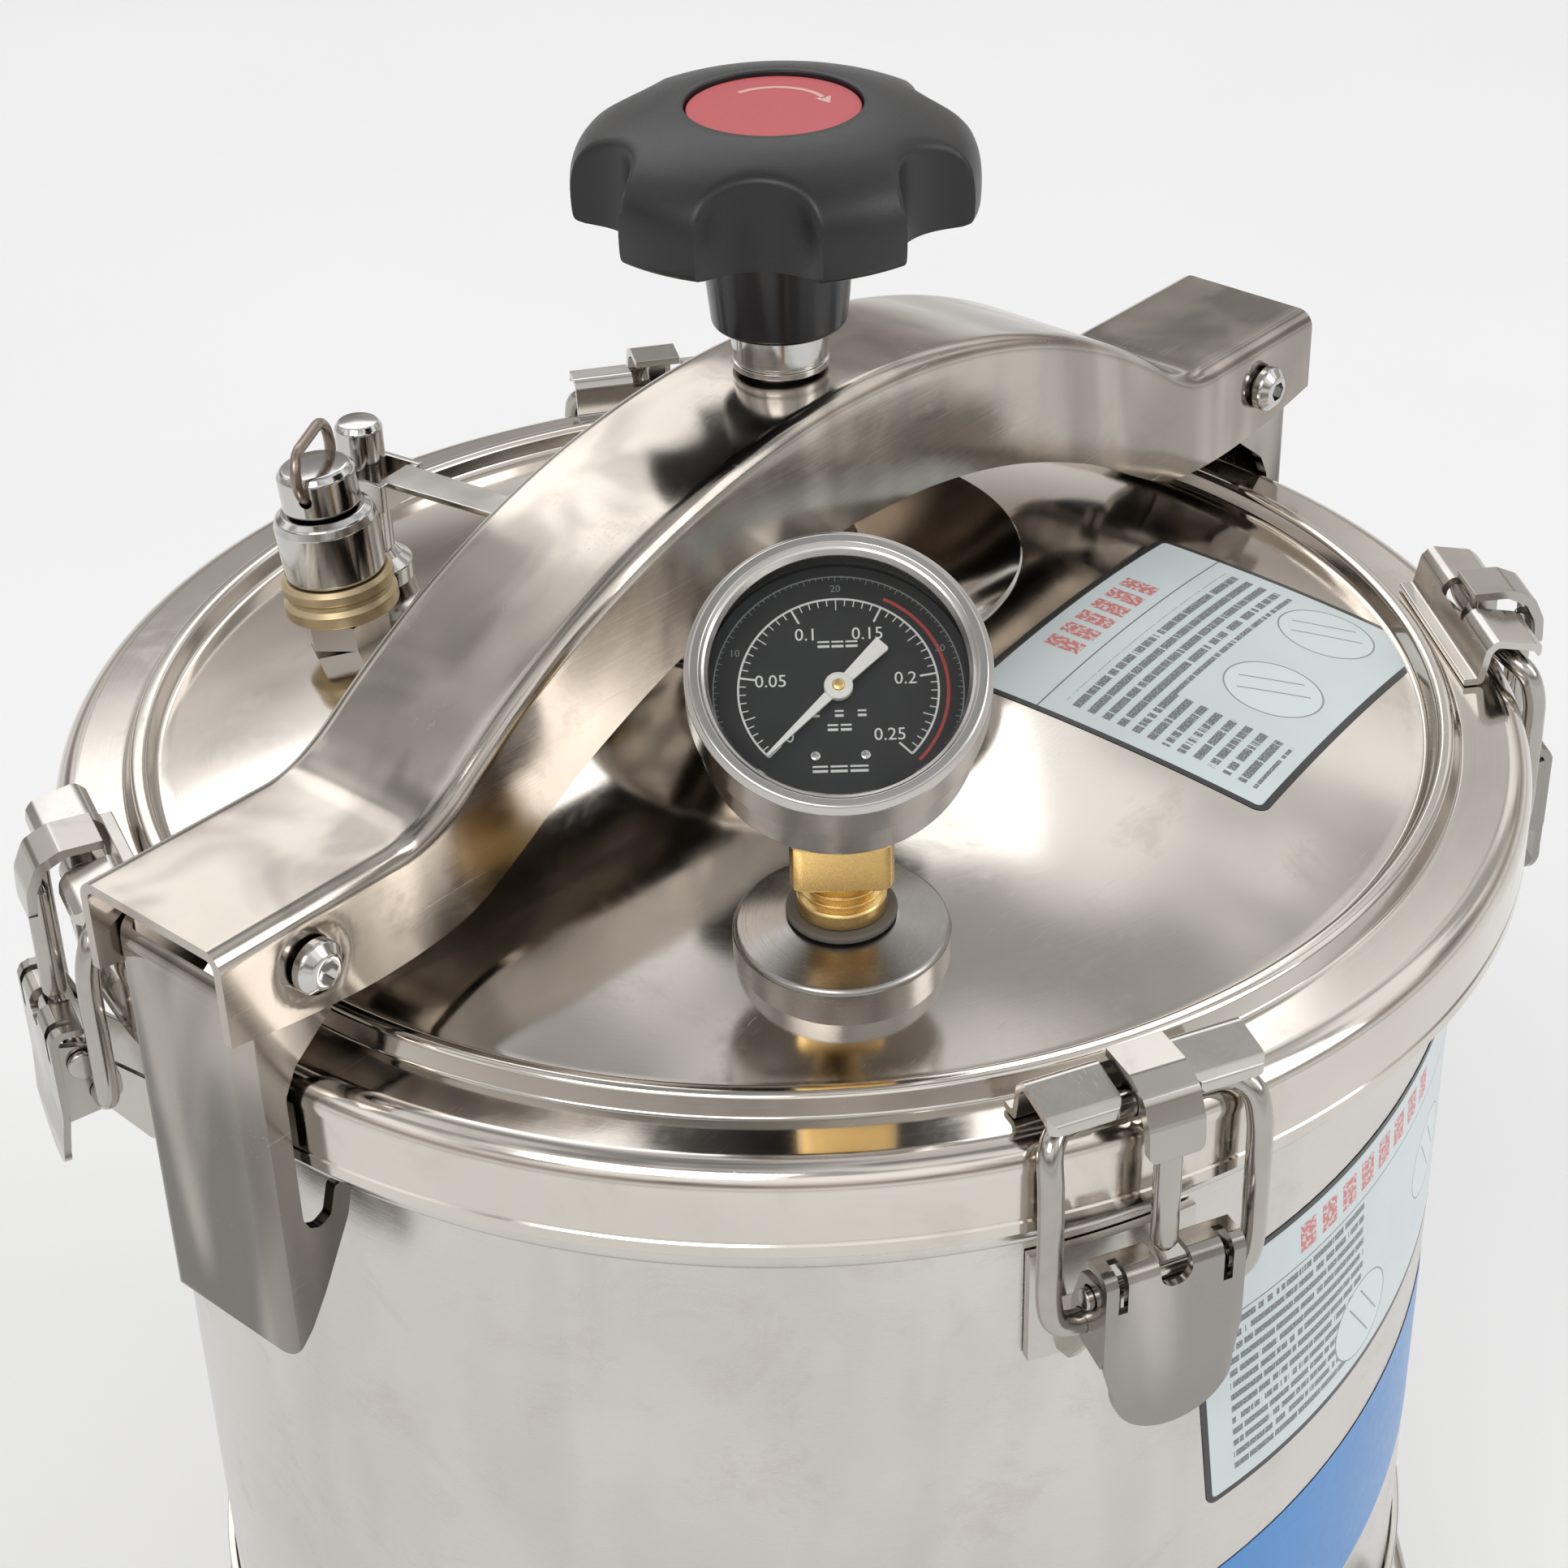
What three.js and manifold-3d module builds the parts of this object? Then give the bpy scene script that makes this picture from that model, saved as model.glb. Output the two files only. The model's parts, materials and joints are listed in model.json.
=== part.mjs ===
// Lever-latched pressure canner with a screw-clamped lid, built as separate pieces.
// Units are millimetres, +Z is up, the origin is the centre of the underside of the base plate,
// and the clamp beam runs along X.
import * as THREE from 'three';
import { mergeVertices } from 'three/addons/utils/BufferGeometryUtils.js';
import Module from 'manifold-3d';

const wasm = await Module();
wasm.setup();

// ---------------------------------------------------------------- driving dimensions

const GAP = 0.3;                    // clearance between pieces that touch
const SHEET = 1.6;                  // pot and lid sheet thickness
const ROUND_SEGMENTS = 48;          // facets round the pot and lid

const POT_RADIUS = 153;             // outside of the wall
const POT_DEPTH = 340;
const BASE_THICKNESS = 6;
const BASE_RADIUS = 138;
const FLOOR_Z = BASE_THICKNESS + GAP;
const FLANGE_TOP_Z = FLOOR_Z + SHEET + POT_DEPTH;
const FLANGE_HEIGHT = 18;
const FLANGE_RADIUS = 160.5;

const RIM_Z = FLANGE_TOP_Z + 8;     // level where the lid's band turns into its flat rim
const LID_RADIUS = 165.5;
const LID_BAND_DROP = 17.6;
const LID_RIM_RISE = 3;             // flat rim above RIM_Z
const LID_CORNER = 6;
const BEAD_OUTER = 149.3;
const BEAD_INNER = 142.5;
const BEAD_RISE = 7.5;
const DOME_RISE = 22;               // dome centre above RIM_Z
const DOME_RADIUS = 529;            // radius of the sphere that the dome belongs to

const BEAM_HALF_LENGTH = 179;
const BEAM_HALF_WIDTH = 20.5;
const BEAM_SHEET = 2.2;
const BEAM_TOP = 87;                // crown of the arch above RIM_Z
const BEAM_END_TOP = 41.5;          // flat ends above RIM_Z
const BEAM_ARCH_RADIUS = 195;
const BEAM_FLANGE_DEPTH = 31;

const PIVOT_OUT = 158;              // clamp arm bolts, from the pot's axis
const PIVOT_UP = 28.5;              // clamp arm bolts above RIM_Z
const BOLT_RADIUS = 3.9;

const ARM_HALF_WIDTH = 17.7;
const ARM_SHEET = 2.5;
const ARM_FACE = 175.5;             // outer face of the arm, from the pot's axis

const SPINDLE_RADIUS = 6;
const NECK_RADIUS = 7.2;            // spindle where it passes through the beam
const COLLAR_RADIUS = 10.4;         // collar between the beam and the knob
const PLATE_RADIUS = 52;

const KNOB_RADIUS = 42.2;
const KNOB_TOP = 145.4;             // above RIM_Z
const KNOB_BOTTOM = 122.5;
const KNOB_HUB_BOTTOM = 97.5;
const KNOB_CAP_RADIUS = 18;
const KNOB_FLUTES = 6;
const KNOB_FLUTE_ANGLE = -143.5;    // degrees, one flute's direction

const GAUGE_OUT = 105.4;            // gauge stem, from the pot's axis
const GAUGE_ANGLE = -133.1;         // degrees, place of the stem
const GAUGE_FACING = -138;          // degrees, direction that the dial leans to
const GAUGE_LEAN = 4;               // degrees, stem from vertical
const GAUGE_TILT = 35;              // degrees, dial axis from vertical
const GAUGE_RADIUS = 28.3;
const GAUGE_CASE_RADIUS = 26.7;
const GAUGE_BACK_UP = 47.5;         // back of the case above the dome
const GAUGE_BACK_IN = 6.4;          // back of the case, behind the stem
const GAUGE_DEPTH = 23;             // case alone
const GAUGE_NEEDLE_REST = -45;      // degrees in the dial's frame, pointing at zero

const VALVE_OUT = 104;
const VALVE_ANGLE = 120;
const VALVE_LEAN = 5;               // degrees, valve from vertical
const VALVE_PIN_UP = 38.5;          // pull ring's pivot above the dome
const VENT_OUT = 110;
const VENT_ANGLE = 105.7;
const VENT_LEVER_ANGLE = -82;
const VENT_LEVER_LENGTH = 48;
const VENT_PIN_UP = 28;             // vent lever's pivot above the dome

const LATCH_ANGLES = [-115, -40, 54, 156];
const LATCH_PIVOT = new THREE.Vector2(172, -30);    // lever pin: out from the axis, up from RIM_Z
const BAIL_PIVOT = new THREE.Vector2(169, -38);
const BAIL_BAR = new THREE.Vector2(163, 6.2);       // bail's cross bar
const BAIL_HALF_WIDTH = 22.2;
const WIRE_RADIUS = 2.5;

const HANDLE_ANGLES = { left: 132, right: -48 };
const HANDLE_UP = RIM_Z - 241;      // hinge line of the hanging side handles
const HANDLE_AXIS_OUT = POT_RADIUS + 8;
const HANDLE_HALF_WIDTH = 46;
const HANDLE_DROP = 46;
const HANDLE_ROD = 4;

// ---------------------------------------------------------------- materials

function material(color, roughness, metalness, opacity = 1) {
  return new THREE.MeshStandardMaterial({ color, roughness, metalness, opacity, transparent: opacity < 1 });
}

const POLISHED = material(0xc9c2b8, 0.16, 1);
const SATIN = material(0xbdb8b0, 0.34, 1);
const WIRE = material(0xb5b0a8, 0.28, 1);
const CHROME = material(0xd4d4d2, 0.1, 1);
const BRASS = material(0xb8924a, 0.38, 1);
const BLACK_PLASTIC = material(0x1b1c1e, 0.5, 0);
const RED_PLASTIC = material(0xb5484c, 0.4, 0);
const RUBBER = material(0xa9a39a, 0.8, 0);
const DIAL = material(0x2b2d2c, 0.6, 0);
const NEEDLE = material(0xe9e8e2, 0.5, 0);
const GLASS = material(0xdfe8ea, 0.05, 0, 0.3);

// ---------------------------------------------------------------- solid helpers

function toSolid(geometry) {
  const bare = geometry.index ? geometry.toNonIndexed() : geometry.clone();
  bare.deleteAttribute('normal');
  bare.deleteAttribute('uv');
  const merged = mergeVertices(bare, 1e-4);
  const corners = [];
  for (let i = 0; i < merged.index.count; i += 3) {
    const [a, b, c] = [merged.index.getX(i), merged.index.getX(i + 1), merged.index.getX(i + 2)];
    if (a !== b && b !== c && c !== a) corners.push(a, b, c);
  }
  const vertProperties = new Float32Array(merged.attributes.position.array);
  return new wasm.Manifold(new wasm.Mesh({ numProp: 3, vertProperties, triVerts: new Uint32Array(corners) }));
}

function fromSolid(solid) {
  const mesh = solid.getMesh();
  const geometry = new THREE.BufferGeometry();
  geometry.setAttribute('position', new THREE.BufferAttribute(new Float32Array(mesh.vertProperties), 3));
  geometry.setIndex(new THREE.BufferAttribute(new Uint32Array(mesh.triVerts), 1));
  const flat = geometry.toNonIndexed();
  flat.computeVertexNormals();
  return flat;
}

function join(...geometries) {
  return fromSolid(geometries.map(toSolid).reduce((sum, next) => sum.add(next)));
}

function cut(geometry, ...tools) {
  return fromSolid(tools.map(toSolid).reduce((rest, tool) => rest.subtract(tool), toSolid(geometry)));
}

const point = (x, y) => new THREE.Vector2(x, y);

// Solid of revolution about Z; the profile holds (radius, height) points.
function lathe(profile, segments = ROUND_SEGMENTS) {
  const onAxis = profile[0].x === 0;
  const outline = THREE.ShapeUtils.area(profile) < 0 ? [...profile].reverse() : [...profile];
  while (onAxis && !(outline[0].x === 0 && outline.at(-1).x === 0)) outline.push(outline.shift());
  if (!onAxis) outline.push(outline[0].clone());
  return new THREE.LatheGeometry(outline, segments).rotateX(Math.PI / 2);
}

const disc = (radius, low, high, segments = 24) =>
  lathe([point(0, low), point(radius, low), point(radius, high), point(0, high)], segments);

const tube = (inner, outer, low, high, segments = 24) =>
  lathe([point(inner, low), point(outer, low), point(outer, high), point(inner, high)], segments);

const box = (x0, x1, y0, y1, z0, z1) =>
  new THREE.BoxGeometry(x1 - x0, y1 - y0, z1 - z0).translate((x0 + x1) / 2, (y0 + y1) / 2, (z0 + z1) / 2);

// Plate whose outline lies in the XZ plane, from y0 to y1.
function sidePlate(outline, y0, y1) {
  const shape = outline.isShape ? outline : new THREE.Shape(outline);
  const depth = y1 - y0;
  return new THREE.ExtrudeGeometry(shape, { depth, bevelEnabled: false, curveSegments: 10 })
    .rotateX(Math.PI / 2).translate(0, y1, 0);
}

// Plate whose outline lies in the XY plane, from z0 to z1.
function flatPlate(shape, z0, z1) {
  return new THREE.ExtrudeGeometry(shape, { depth: z1 - z0, bevelEnabled: false, curveSegments: 8 })
    .translate(0, 0, z0);
}

// Round rod along Y.
const crossRod = (radius, x, z, y0, y1, segments = 16) =>
  new THREE.CylinderGeometry(radius, radius, y1 - y0, segments).translate(x, (y0 + y1) / 2, z);

// Path of straight runs joined by rounded corners.
function bentPath(points, bend) {
  const path = new THREE.CurvePath();
  let start = points[0];
  for (let i = 1; i < points.length - 1; i++) {
    const corner = points[i];
    const before = corner.clone().add(points[i - 1].clone().sub(corner).setLength(bend));
    const after = corner.clone().add(points[i + 1].clone().sub(corner).setLength(bend));
    path.add(new THREE.LineCurve3(start, before));
    path.add(new THREE.QuadraticBezierCurve3(before, corner, after));
    start = after;
  }
  path.add(new THREE.LineCurve3(start, points.at(-1)));
  return path;
}

function rodAlong(path, radius, steps, sides = 8) {
  const corners = Array.from({ length: sides }, (_, i) => {
    const turn = (2 * Math.PI * i) / sides;
    return point(radius * Math.cos(turn), radius * Math.sin(turn));
  });
  return new THREE.ExtrudeGeometry(new THREE.Shape(corners), { extrudePath: path, steps });
}

function polygonShape(radius, sides, phase = 0) {
  const corners = Array.from({ length: sides }, (_, i) => {
    const turn = phase + (2 * Math.PI * i) / sides;
    return point(radius * Math.cos(turn), radius * Math.sin(turn));
  });
  return new THREE.Shape(corners);
}

const arcPoints = (cx, cy, radius, from, to, steps) => Array.from({ length: steps + 1 }, (_, i) => {
  const turn = THREE.MathUtils.degToRad(from + ((to - from) * i) / steps);
  return point(cx + radius * Math.cos(turn), cy + radius * Math.sin(turn));
});

function place(group, name, geometry, finish) {
  const mesh = new THREE.Mesh(geometry, finish);
  mesh.name = name;
  group.add(mesh);
  return mesh;
}

function groupAt(parent, radius, angle, z) {
  const group = new THREE.Group();
  const turn = THREE.MathUtils.degToRad(angle);
  group.position.set(radius * Math.cos(turn), radius * Math.sin(turn), z);
  group.rotation.set(0, 0, turn);
  parent.add(group);
  return group;
}

// ---------------------------------------------------------------- pot and lid

const domeHeight = (radius) => DOME_RISE - (radius * radius) / (2 * DOME_RADIUS);

// The pot's outside with a little clearance, for trimming what is fixed to the wall.
const potSkin = (low, high) => disc(POT_RADIUS + GAP, low, high, ROUND_SEGMENTS * 2);

function potShell() {
  const inner = POT_RADIUS - SHEET;
  const corner = 12;
  const flangeLow = FLANGE_TOP_Z - FLANGE_HEIGHT;
  const roll = 4;
  return lathe([
    point(0, FLOOR_Z),
    ...arcPoints(POT_RADIUS - corner, FLOOR_Z + corner, corner, -90, 0, 4),
    point(POT_RADIUS, flangeLow),
    ...arcPoints(FLANGE_RADIUS - roll, flangeLow + roll, roll, -90, 0, 2),
    ...arcPoints(FLANGE_RADIUS - roll, FLANGE_TOP_Z - roll, roll, 0, 90, 2),
    point(inner, FLANGE_TOP_Z),
    ...arcPoints(inner - corner, FLOOR_Z + SHEET + corner, corner, 0, -90, 3),
    point(0, FLOOR_Z + SHEET),
  ]);
}

function lidOutline(offset) {
  const rim = LID_RIM_RISE - offset;
  const band = LID_RADIUS - offset;
  const corner = LID_CORNER - offset;
  const beadMiddle = (BEAD_OUTER + BEAD_INNER) / 2;
  const rings = [142.5, 96, 48, 0];
  return [
    point(band, -LID_BAND_DROP),
    ...arcPoints(band - corner, rim - corner, corner, 0, 90, 3),
    point(BEAD_OUTER, rim),
    point(beadMiddle + 1.8, BEAD_RISE - offset),
    point(beadMiddle - 1, BEAD_RISE - offset),
    ...rings.map((radius) => point(radius, domeHeight(radius) - offset)),
  ];
}

function lidShell() {
  const profile = [...lidOutline(0).reverse(), ...lidOutline(SHEET)];
  return lathe(profile.map((p) => point(p.x, p.y + RIM_Z)));
}

function lidGasket() {
  const low = FLANGE_TOP_Z + GAP;
  const high = RIM_Z + LID_RIM_RISE - SHEET - GAP;
  return lathe([point(151.8, low), point(159.5, low), point(160.5, low + 3), point(158, high),
    point(152.5, high), point(150.5, low + 5)]);
}

function basePlate() {
  const chamfer = 1.5;
  return lathe([point(0, 0), point(BASE_RADIUS - chamfer, 0), point(BASE_RADIUS, chamfer),
    point(BASE_RADIUS, BASE_THICKNESS), point(0, BASE_THICKNESS)]);
}

function canningRack() {
  const radius = 140;
  const low = FLOOR_Z + SHEET + 20;
  const thickness = 2;
  const shape = polygonShape(radius, 36);
  const holeRadius = 11;
  const rings = [[0, 1], [46, 6], [96, 12]];
  for (const [distance, count] of rings) {
    for (let i = 0; i < count; i++) {
      const turn = (2 * Math.PI * i) / count;
      const hole = polygonShape(holeRadius, 6).getPoints()
        .map((p) => point(p.x + distance * Math.cos(turn), p.y + distance * Math.sin(turn)));
      shape.holes.push(new THREE.Path(hole));
    }
  }
  const feet = [0, 1, 2, 3].map((i) => {
    const turn = (i + 0.5) * (Math.PI / 2);
    const foot = box(-4, 4, -12, 12, FLOOR_Z + SHEET + GAP, low + thickness / 2);
    return foot.translate(130, 0, 0).rotateZ(turn);
  });
  return join(flatPlate(shape, low, low + thickness), ...feet);
}

// Curved plate on the pot's wall with a lug at each end that holds the handle's wire.
function handleMount() {
  const wall = POT_RADIUS + GAP;
  const knuckleIn = HANDLE_HALF_WIDTH + HANDLE_ROD + 2;
  const knuckleOut = knuckleIn + 12;
  const strip = toSolid(tube(wall, wall + 2, -9, 12, ROUND_SEGMENTS * 2));
  const span = toSolid(box(wall - 40, wall + 10, -knuckleOut - 2, knuckleOut + 2, -20, 20));
  const lugs = [-1, 1].flatMap((side) => {
    const [y0, y1] = [side * knuckleIn, side * knuckleOut].sort((a, b) => a - b);
    const knuckle = crossRod(HANDLE_ROD + 2, HANDLE_AXIS_OUT, 0, y0, y1, 12);
    return [knuckle, box(wall - 20, HANDLE_AXIS_OUT, y0, y1, -3.5, 3.5)];
  });
  const wireHole = crossRod(HANDLE_ROD + 0.4, HANDLE_AXIS_OUT, 0, -knuckleOut - 5, knuckleOut + 5, 12);
  return cut(join(fromSolid(strip.intersect(span)), ...lugs), wireHole, potSkin(-20, 20));
}

function sideHandle() {
  const end = HANDLE_HALF_WIDTH + HANDLE_ROD + 13;
  const corners = [
    new THREE.Vector3(HANDLE_AXIS_OUT, -end, 0),
    new THREE.Vector3(HANDLE_AXIS_OUT, -HANDLE_HALF_WIDTH, 0),
    new THREE.Vector3(HANDLE_AXIS_OUT, -HANDLE_HALF_WIDTH, -HANDLE_DROP),
    new THREE.Vector3(HANDLE_AXIS_OUT, HANDLE_HALF_WIDTH, -HANDLE_DROP),
    new THREE.Vector3(HANDLE_AXIS_OUT, HANDLE_HALF_WIDTH, 0),
    new THREE.Vector3(HANDLE_AXIS_OUT, end, 0),
  ];
  return rodAlong(bentPath(corners, 6), HANDLE_ROD, 32, 8);
}

// ---------------------------------------------------------------- clamp beam and arms

const archTop = (x) => BEAM_TOP - BEAM_ARCH_RADIUS + Math.sqrt(BEAM_ARCH_RADIUS ** 2 - x * x);

function beamUpperEdge(drop) {
  const toeStart = 118;
  const arch = [];
  for (let x = -toeStart; x <= toeStart + 0.1; x += toeStart / 8) arch.push(point(x, archTop(x) - drop));
  const toe = [point(126, 43.8 - drop), point(134, BEAM_END_TOP - drop)];
  const mirrored = toe.map((p) => point(-p.x, p.y)).reverse();
  return [point(-BEAM_HALF_LENGTH, BEAM_END_TOP - drop), ...mirrored, ...arch, ...toe,
    point(BEAM_HALF_LENGTH, BEAM_END_TOP - drop)];
}

function beamLowerEdge() {
  const lowCentre = BEAM_TOP - BEAM_FLANGE_DEPTH;
  const lowerRadius = 190;
  const toeStart = 112;
  const arch = [];
  for (let x = -toeStart; x <= toeStart + 0.1; x += toeStart / 7) {
    arch.push(point(x, lowCentre - lowerRadius + Math.sqrt(lowerRadius ** 2 - x * x)));
  }
  const toe = [point(124, 18.5), point(138, 16), point(155, 17), point(BEAM_HALF_LENGTH, 21)];
  return [...toe.map((p) => point(-p.x, p.y)).reverse(), ...arch, ...toe];
}

function clampBeam() {
  const upper = beamUpperEdge(0);
  const outer = sidePlate([...upper, ...beamLowerEdge().reverse()], -BEAM_HALF_WIDTH, BEAM_HALF_WIDTH);
  const inside = BEAM_HALF_WIDTH - BEAM_SHEET;
  const channelTop = beamUpperEdge(BEAM_SHEET + 0.4);
  channelTop[0].x -= 5;
  channelTop.at(-1).x += 5;
  const channel = sidePlate([...channelTop, point(BEAM_HALF_LENGTH + 5, 0), point(-BEAM_HALF_LENGTH - 5, 0)],
    -inside, inside);
  const spindleHole = disc(NECK_RADIUS + 0.6, BEAM_TOP - 10, BEAM_TOP + 5);
  const boltHoles = [-1, 1].map((side) => crossRod(BOLT_RADIUS + 0.4, side * PIVOT_OUT, PIVOT_UP, -30, 30));
  const bush = tube(SPINDLE_RADIUS + 0.4, 14, 62, BEAM_TOP - BEAM_SHEET + 0.5, 20);
  return join(cut(outer, channel, spindleHole, ...boltHoles), bush);
}

// Side outline of a clamp arm, for the arm on the +X side; x runs outwards.
function armOutline() {
  return [
    point(ARM_FACE, -60), point(ARM_FACE, 27.5), point(164, 35),
    ...arcPoints(PIVOT_OUT, PIVOT_UP, 8.6, 60, 190, 6),
    point(150, 21), point(153, 14), point(163.4, 6), point(166.6, 0), point(166.6, -30.5),
    point(165.2, -33.4), point(162.6, -34.6), point(159.8, -33.4), point(158, -27.2),
    point(155, -26.9), point(154, -30), point(155.5, -36), point(163.5, -51), point(168, -58), point(172, -62),
  ];
}

function clampArm(side) {
  const outer = sidePlate(armOutline(), -ARM_HALF_WIDTH, ARM_HALF_WIDTH);
  const inside = ARM_HALF_WIDTH - ARM_SHEET;
  const hollow = box(140, ARM_FACE - ARM_SHEET, -inside, inside, -59, 60);
  const boltHole = crossRod(BOLT_RADIUS + 0.5, PIVOT_OUT, PIVOT_UP, -30, 30);
  const arm = cut(outer, hollow, boltHole);
  return side < 0 ? arm.rotateZ(Math.PI) : arm;
}

function beamBolt() {
  const headInner = BEAM_HALF_WIDTH + GAP;
  const head = lathe([point(0, 0), point(5.7, 0), point(5.7, 1.6), point(4.2, 4), point(0, 4.2)], 16)
    .rotateX(Math.PI / 2).translate(0, -headInner, 0);
  const shank = crossRod(BOLT_RADIUS, 0, 0, -headInner - 1, BEAM_HALF_WIDTH + 7);
  const socket = flatPlate(polygonShape(2.3, 6), 0, 3).rotateX(Math.PI / 2).translate(0, -headInner - 2.4, 0);
  return cut(join(head, shank), socket);
}

function beamNut() {
  const shape = polygonShape(7.4, 6);
  shape.holes.push(new THREE.Path(polygonShape(BOLT_RADIUS + 0.2, 16).getPoints()));
  return flatPlate(shape, 0, 5.5).rotateX(-Math.PI / 2).translate(0, BEAM_HALF_WIDTH + GAP, 0);
}

// ---------------------------------------------------------------- clamping screw

function spindle() {
  const threadPitch = 10;
  const profile = [point(0, 27), point(SPINDLE_RADIUS - 2, 27), point(SPINDLE_RADIUS, 29)];
  for (let z = 32; z < 82; z += threadPitch) {
    profile.push(point(SPINDLE_RADIUS, z), point(SPINDLE_RADIUS - 0.6, z + threadPitch / 2));
  }
  const collarLow = BEAM_TOP + 2 * GAP;
  const collarHigh = KNOB_HUB_BOTTOM - GAP;
  profile.push(point(SPINDLE_RADIUS, 85.6), point(NECK_RADIUS, 85.6), point(NECK_RADIUS, collarLow));
  profile.push(point(COLLAR_RADIUS, collarLow), point(COLLAR_RADIUS, collarHigh));
  profile.push(point(NECK_RADIUS, collarHigh), point(NECK_RADIUS, 118), point(0, 118));
  return lathe(profile, 16);
}

function pressurePlate() {
  const dishRadius = 84;
  const low = DOME_RISE + 0.5;
  const thickness = 2.2;
  const dish = (radius) => low + dishRadius - Math.sqrt(dishRadius ** 2 - radius * radius);
  const steps = [0, 13, 26, 39, PLATE_RADIUS];
  const bossRadius = 16;
  const bossTop = 46;
  const boreRadius = SPINDLE_RADIUS + 0.4;
  const boreFloor = 26.4;
  const under = steps.map((radius) => point(radius, dish(radius)));
  const upper = [PLATE_RADIUS, 40, 28, bossRadius].map((radius) => point(radius, dish(radius) + thickness));
  return lathe([...under, ...upper, point(bossRadius, bossTop), point(boreRadius, bossTop),
    point(boreRadius, boreFloor), point(0, boreFloor)], 32);
}

function knob() {
  const recessRadius = KNOB_CAP_RADIUS + 0.4;
  const recessFloor = KNOB_TOP - 2.6;
  const boreRadius = NECK_RADIUS + GAP;
  const body = lathe([
    point(boreRadius, KNOB_HUB_BOTTOM), point(13, KNOB_HUB_BOTTOM), point(14.7, KNOB_HUB_BOTTOM + 2),
    point(15.8, KNOB_BOTTOM - 10), point(17, KNOB_BOTTOM), point(38, KNOB_BOTTOM),
    ...arcPoints(KNOB_RADIUS - 4, KNOB_BOTTOM + 4, 4, -60, 0, 2),
    point(KNOB_RADIUS, KNOB_BOTTOM + 9), point(KNOB_RADIUS - 2.6, KNOB_BOTTOM + 14.5),
    point(KNOB_RADIUS - 8, KNOB_TOP - 4.6), point(KNOB_RADIUS - 15, KNOB_TOP - 1.4),
    point(22, KNOB_TOP), point(recessRadius, KNOB_TOP - 0.6), point(recessRadius, recessFloor),
    point(0, recessFloor), point(0, 118.4), point(boreRadius, 118.4),
  ].reverse(), 36);
  const fluteRadius = 13.5;
  const fluteOut = 46.5;
  const flutes = Array.from({ length: KNOB_FLUTES }, (_, i) => {
    const turn = THREE.MathUtils.degToRad(KNOB_FLUTE_ANGLE + (360 / KNOB_FLUTES) * i);
    return disc(fluteRadius, KNOB_BOTTOM - 5, KNOB_TOP + 5, 16)
      .translate(fluteOut * Math.cos(turn), fluteOut * Math.sin(turn), 0);
  });
  return cut(body, ...flutes);
}

// ---------------------------------------------------------------- pressure gauge

function gaugeFlange() {
  return lathe([point(0, -8), point(21.6, -8), point(21.6, 3.6), point(20.4, 5), point(15, 6.4),
    point(11, 7.8), point(0, 7.8)], 30);
}

function gaugeStem(backPoint, backAxis) {
  const shoulder = lathe([point(0, 10.4), point(9, 10.4), point(9, 13.6), point(8.2, 14.3), point(9, 15),
    point(9, 16), point(8.2, 16.7), point(9, 17.4), point(9, 19.6), point(0, 19.6)], 18);
  const half = 10;
  const chamfer = 2.4;
  const square = new THREE.Shape([
    point(-half, -half + chamfer), point(-half + chamfer, -half), point(half - chamfer, -half),
    point(half, -half + chamfer), point(half, half - chamfer), point(half - chamfer, half),
    point(-half + chamfer, half), point(-half, half - chamfer),
  ]);
  const block = flatPlate(square, 19, 31);
  const end = backPoint.clone().addScaledVector(backAxis, -GAP);
  const bend = backPoint.clone().addScaledVector(backAxis, -9);
  const neck = new THREE.CatmullRomCurve3([
    new THREE.Vector3(0, 0, 29), new THREE.Vector3(-0.4, 0, 34.5), bend, end,
  ]);
  return join(shoulder, block, rodAlong(neck, 6, 7, 10));
}

function gaugeCase() {
  const sheet = 1.2;
  return lathe([point(0, 0), point(GAUGE_CASE_RADIUS - 2, 0), point(GAUGE_CASE_RADIUS, 2),
    point(GAUGE_CASE_RADIUS, GAUGE_DEPTH), point(GAUGE_CASE_RADIUS - sheet, GAUGE_DEPTH),
    point(GAUGE_CASE_RADIUS - sheet, 2.6), point(0, sheet + 1.2)], 32);
}

function gaugeBezel() {
  const inside = GAUGE_CASE_RADIUS + GAP;
  const top = GAUGE_DEPTH + 4.2;
  return lathe([point(inside, top - 11.5), point(GAUGE_RADIUS - 0.4, top - 11.5), point(GAUGE_RADIUS, top - 10.5),
    point(GAUGE_RADIUS, top - 1.5), point(GAUGE_RADIUS - 1.6, top), point(24.6, top), point(23.9, top - 0.8),
    point(23.9, top - 1.8), point(inside, top - 1.8)], 32);
}

function gaugeNeedle() {
  const z = GAUGE_DEPTH - 4.6;
  const blade = new THREE.Shape([
    point(1.6, -1.2), point(19, -0.35), point(19, 0.35), point(1.6, 1.2),
    point(-2, 1.3), point(-12, 1.6), point(-12, -1.6), point(-2, -1.3),
  ]);
  return join(flatPlate(blade, z, z + 0.8), disc(2.9, z - 0.4, z + 1.4, 16), disc(0.9, 12, z + 0.4, 10));
}

function gaugeDial() {
  return tube(1.4, 25.2, GAUGE_DEPTH - 6.8, GAUGE_DEPTH - 6, 30);
}

// ---------------------------------------------------------------- safety valve and vent

function valveHexBase() {
  const shape = polygonShape(10.5, 6);
  shape.holes.push(new THREE.Path(polygonShape(3, 10).getPoints()));
  return flatPlate(shape, -4, 7);
}

function valveSeat() {
  return lathe([point(3, 7.3), point(11, 7.3), point(13.2, 8.2), point(13.2, 11), point(12.2, 12),
    point(12.2, 13), point(13, 14), point(13, 16), point(12, 17), point(3, 17)], 20);
}

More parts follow.
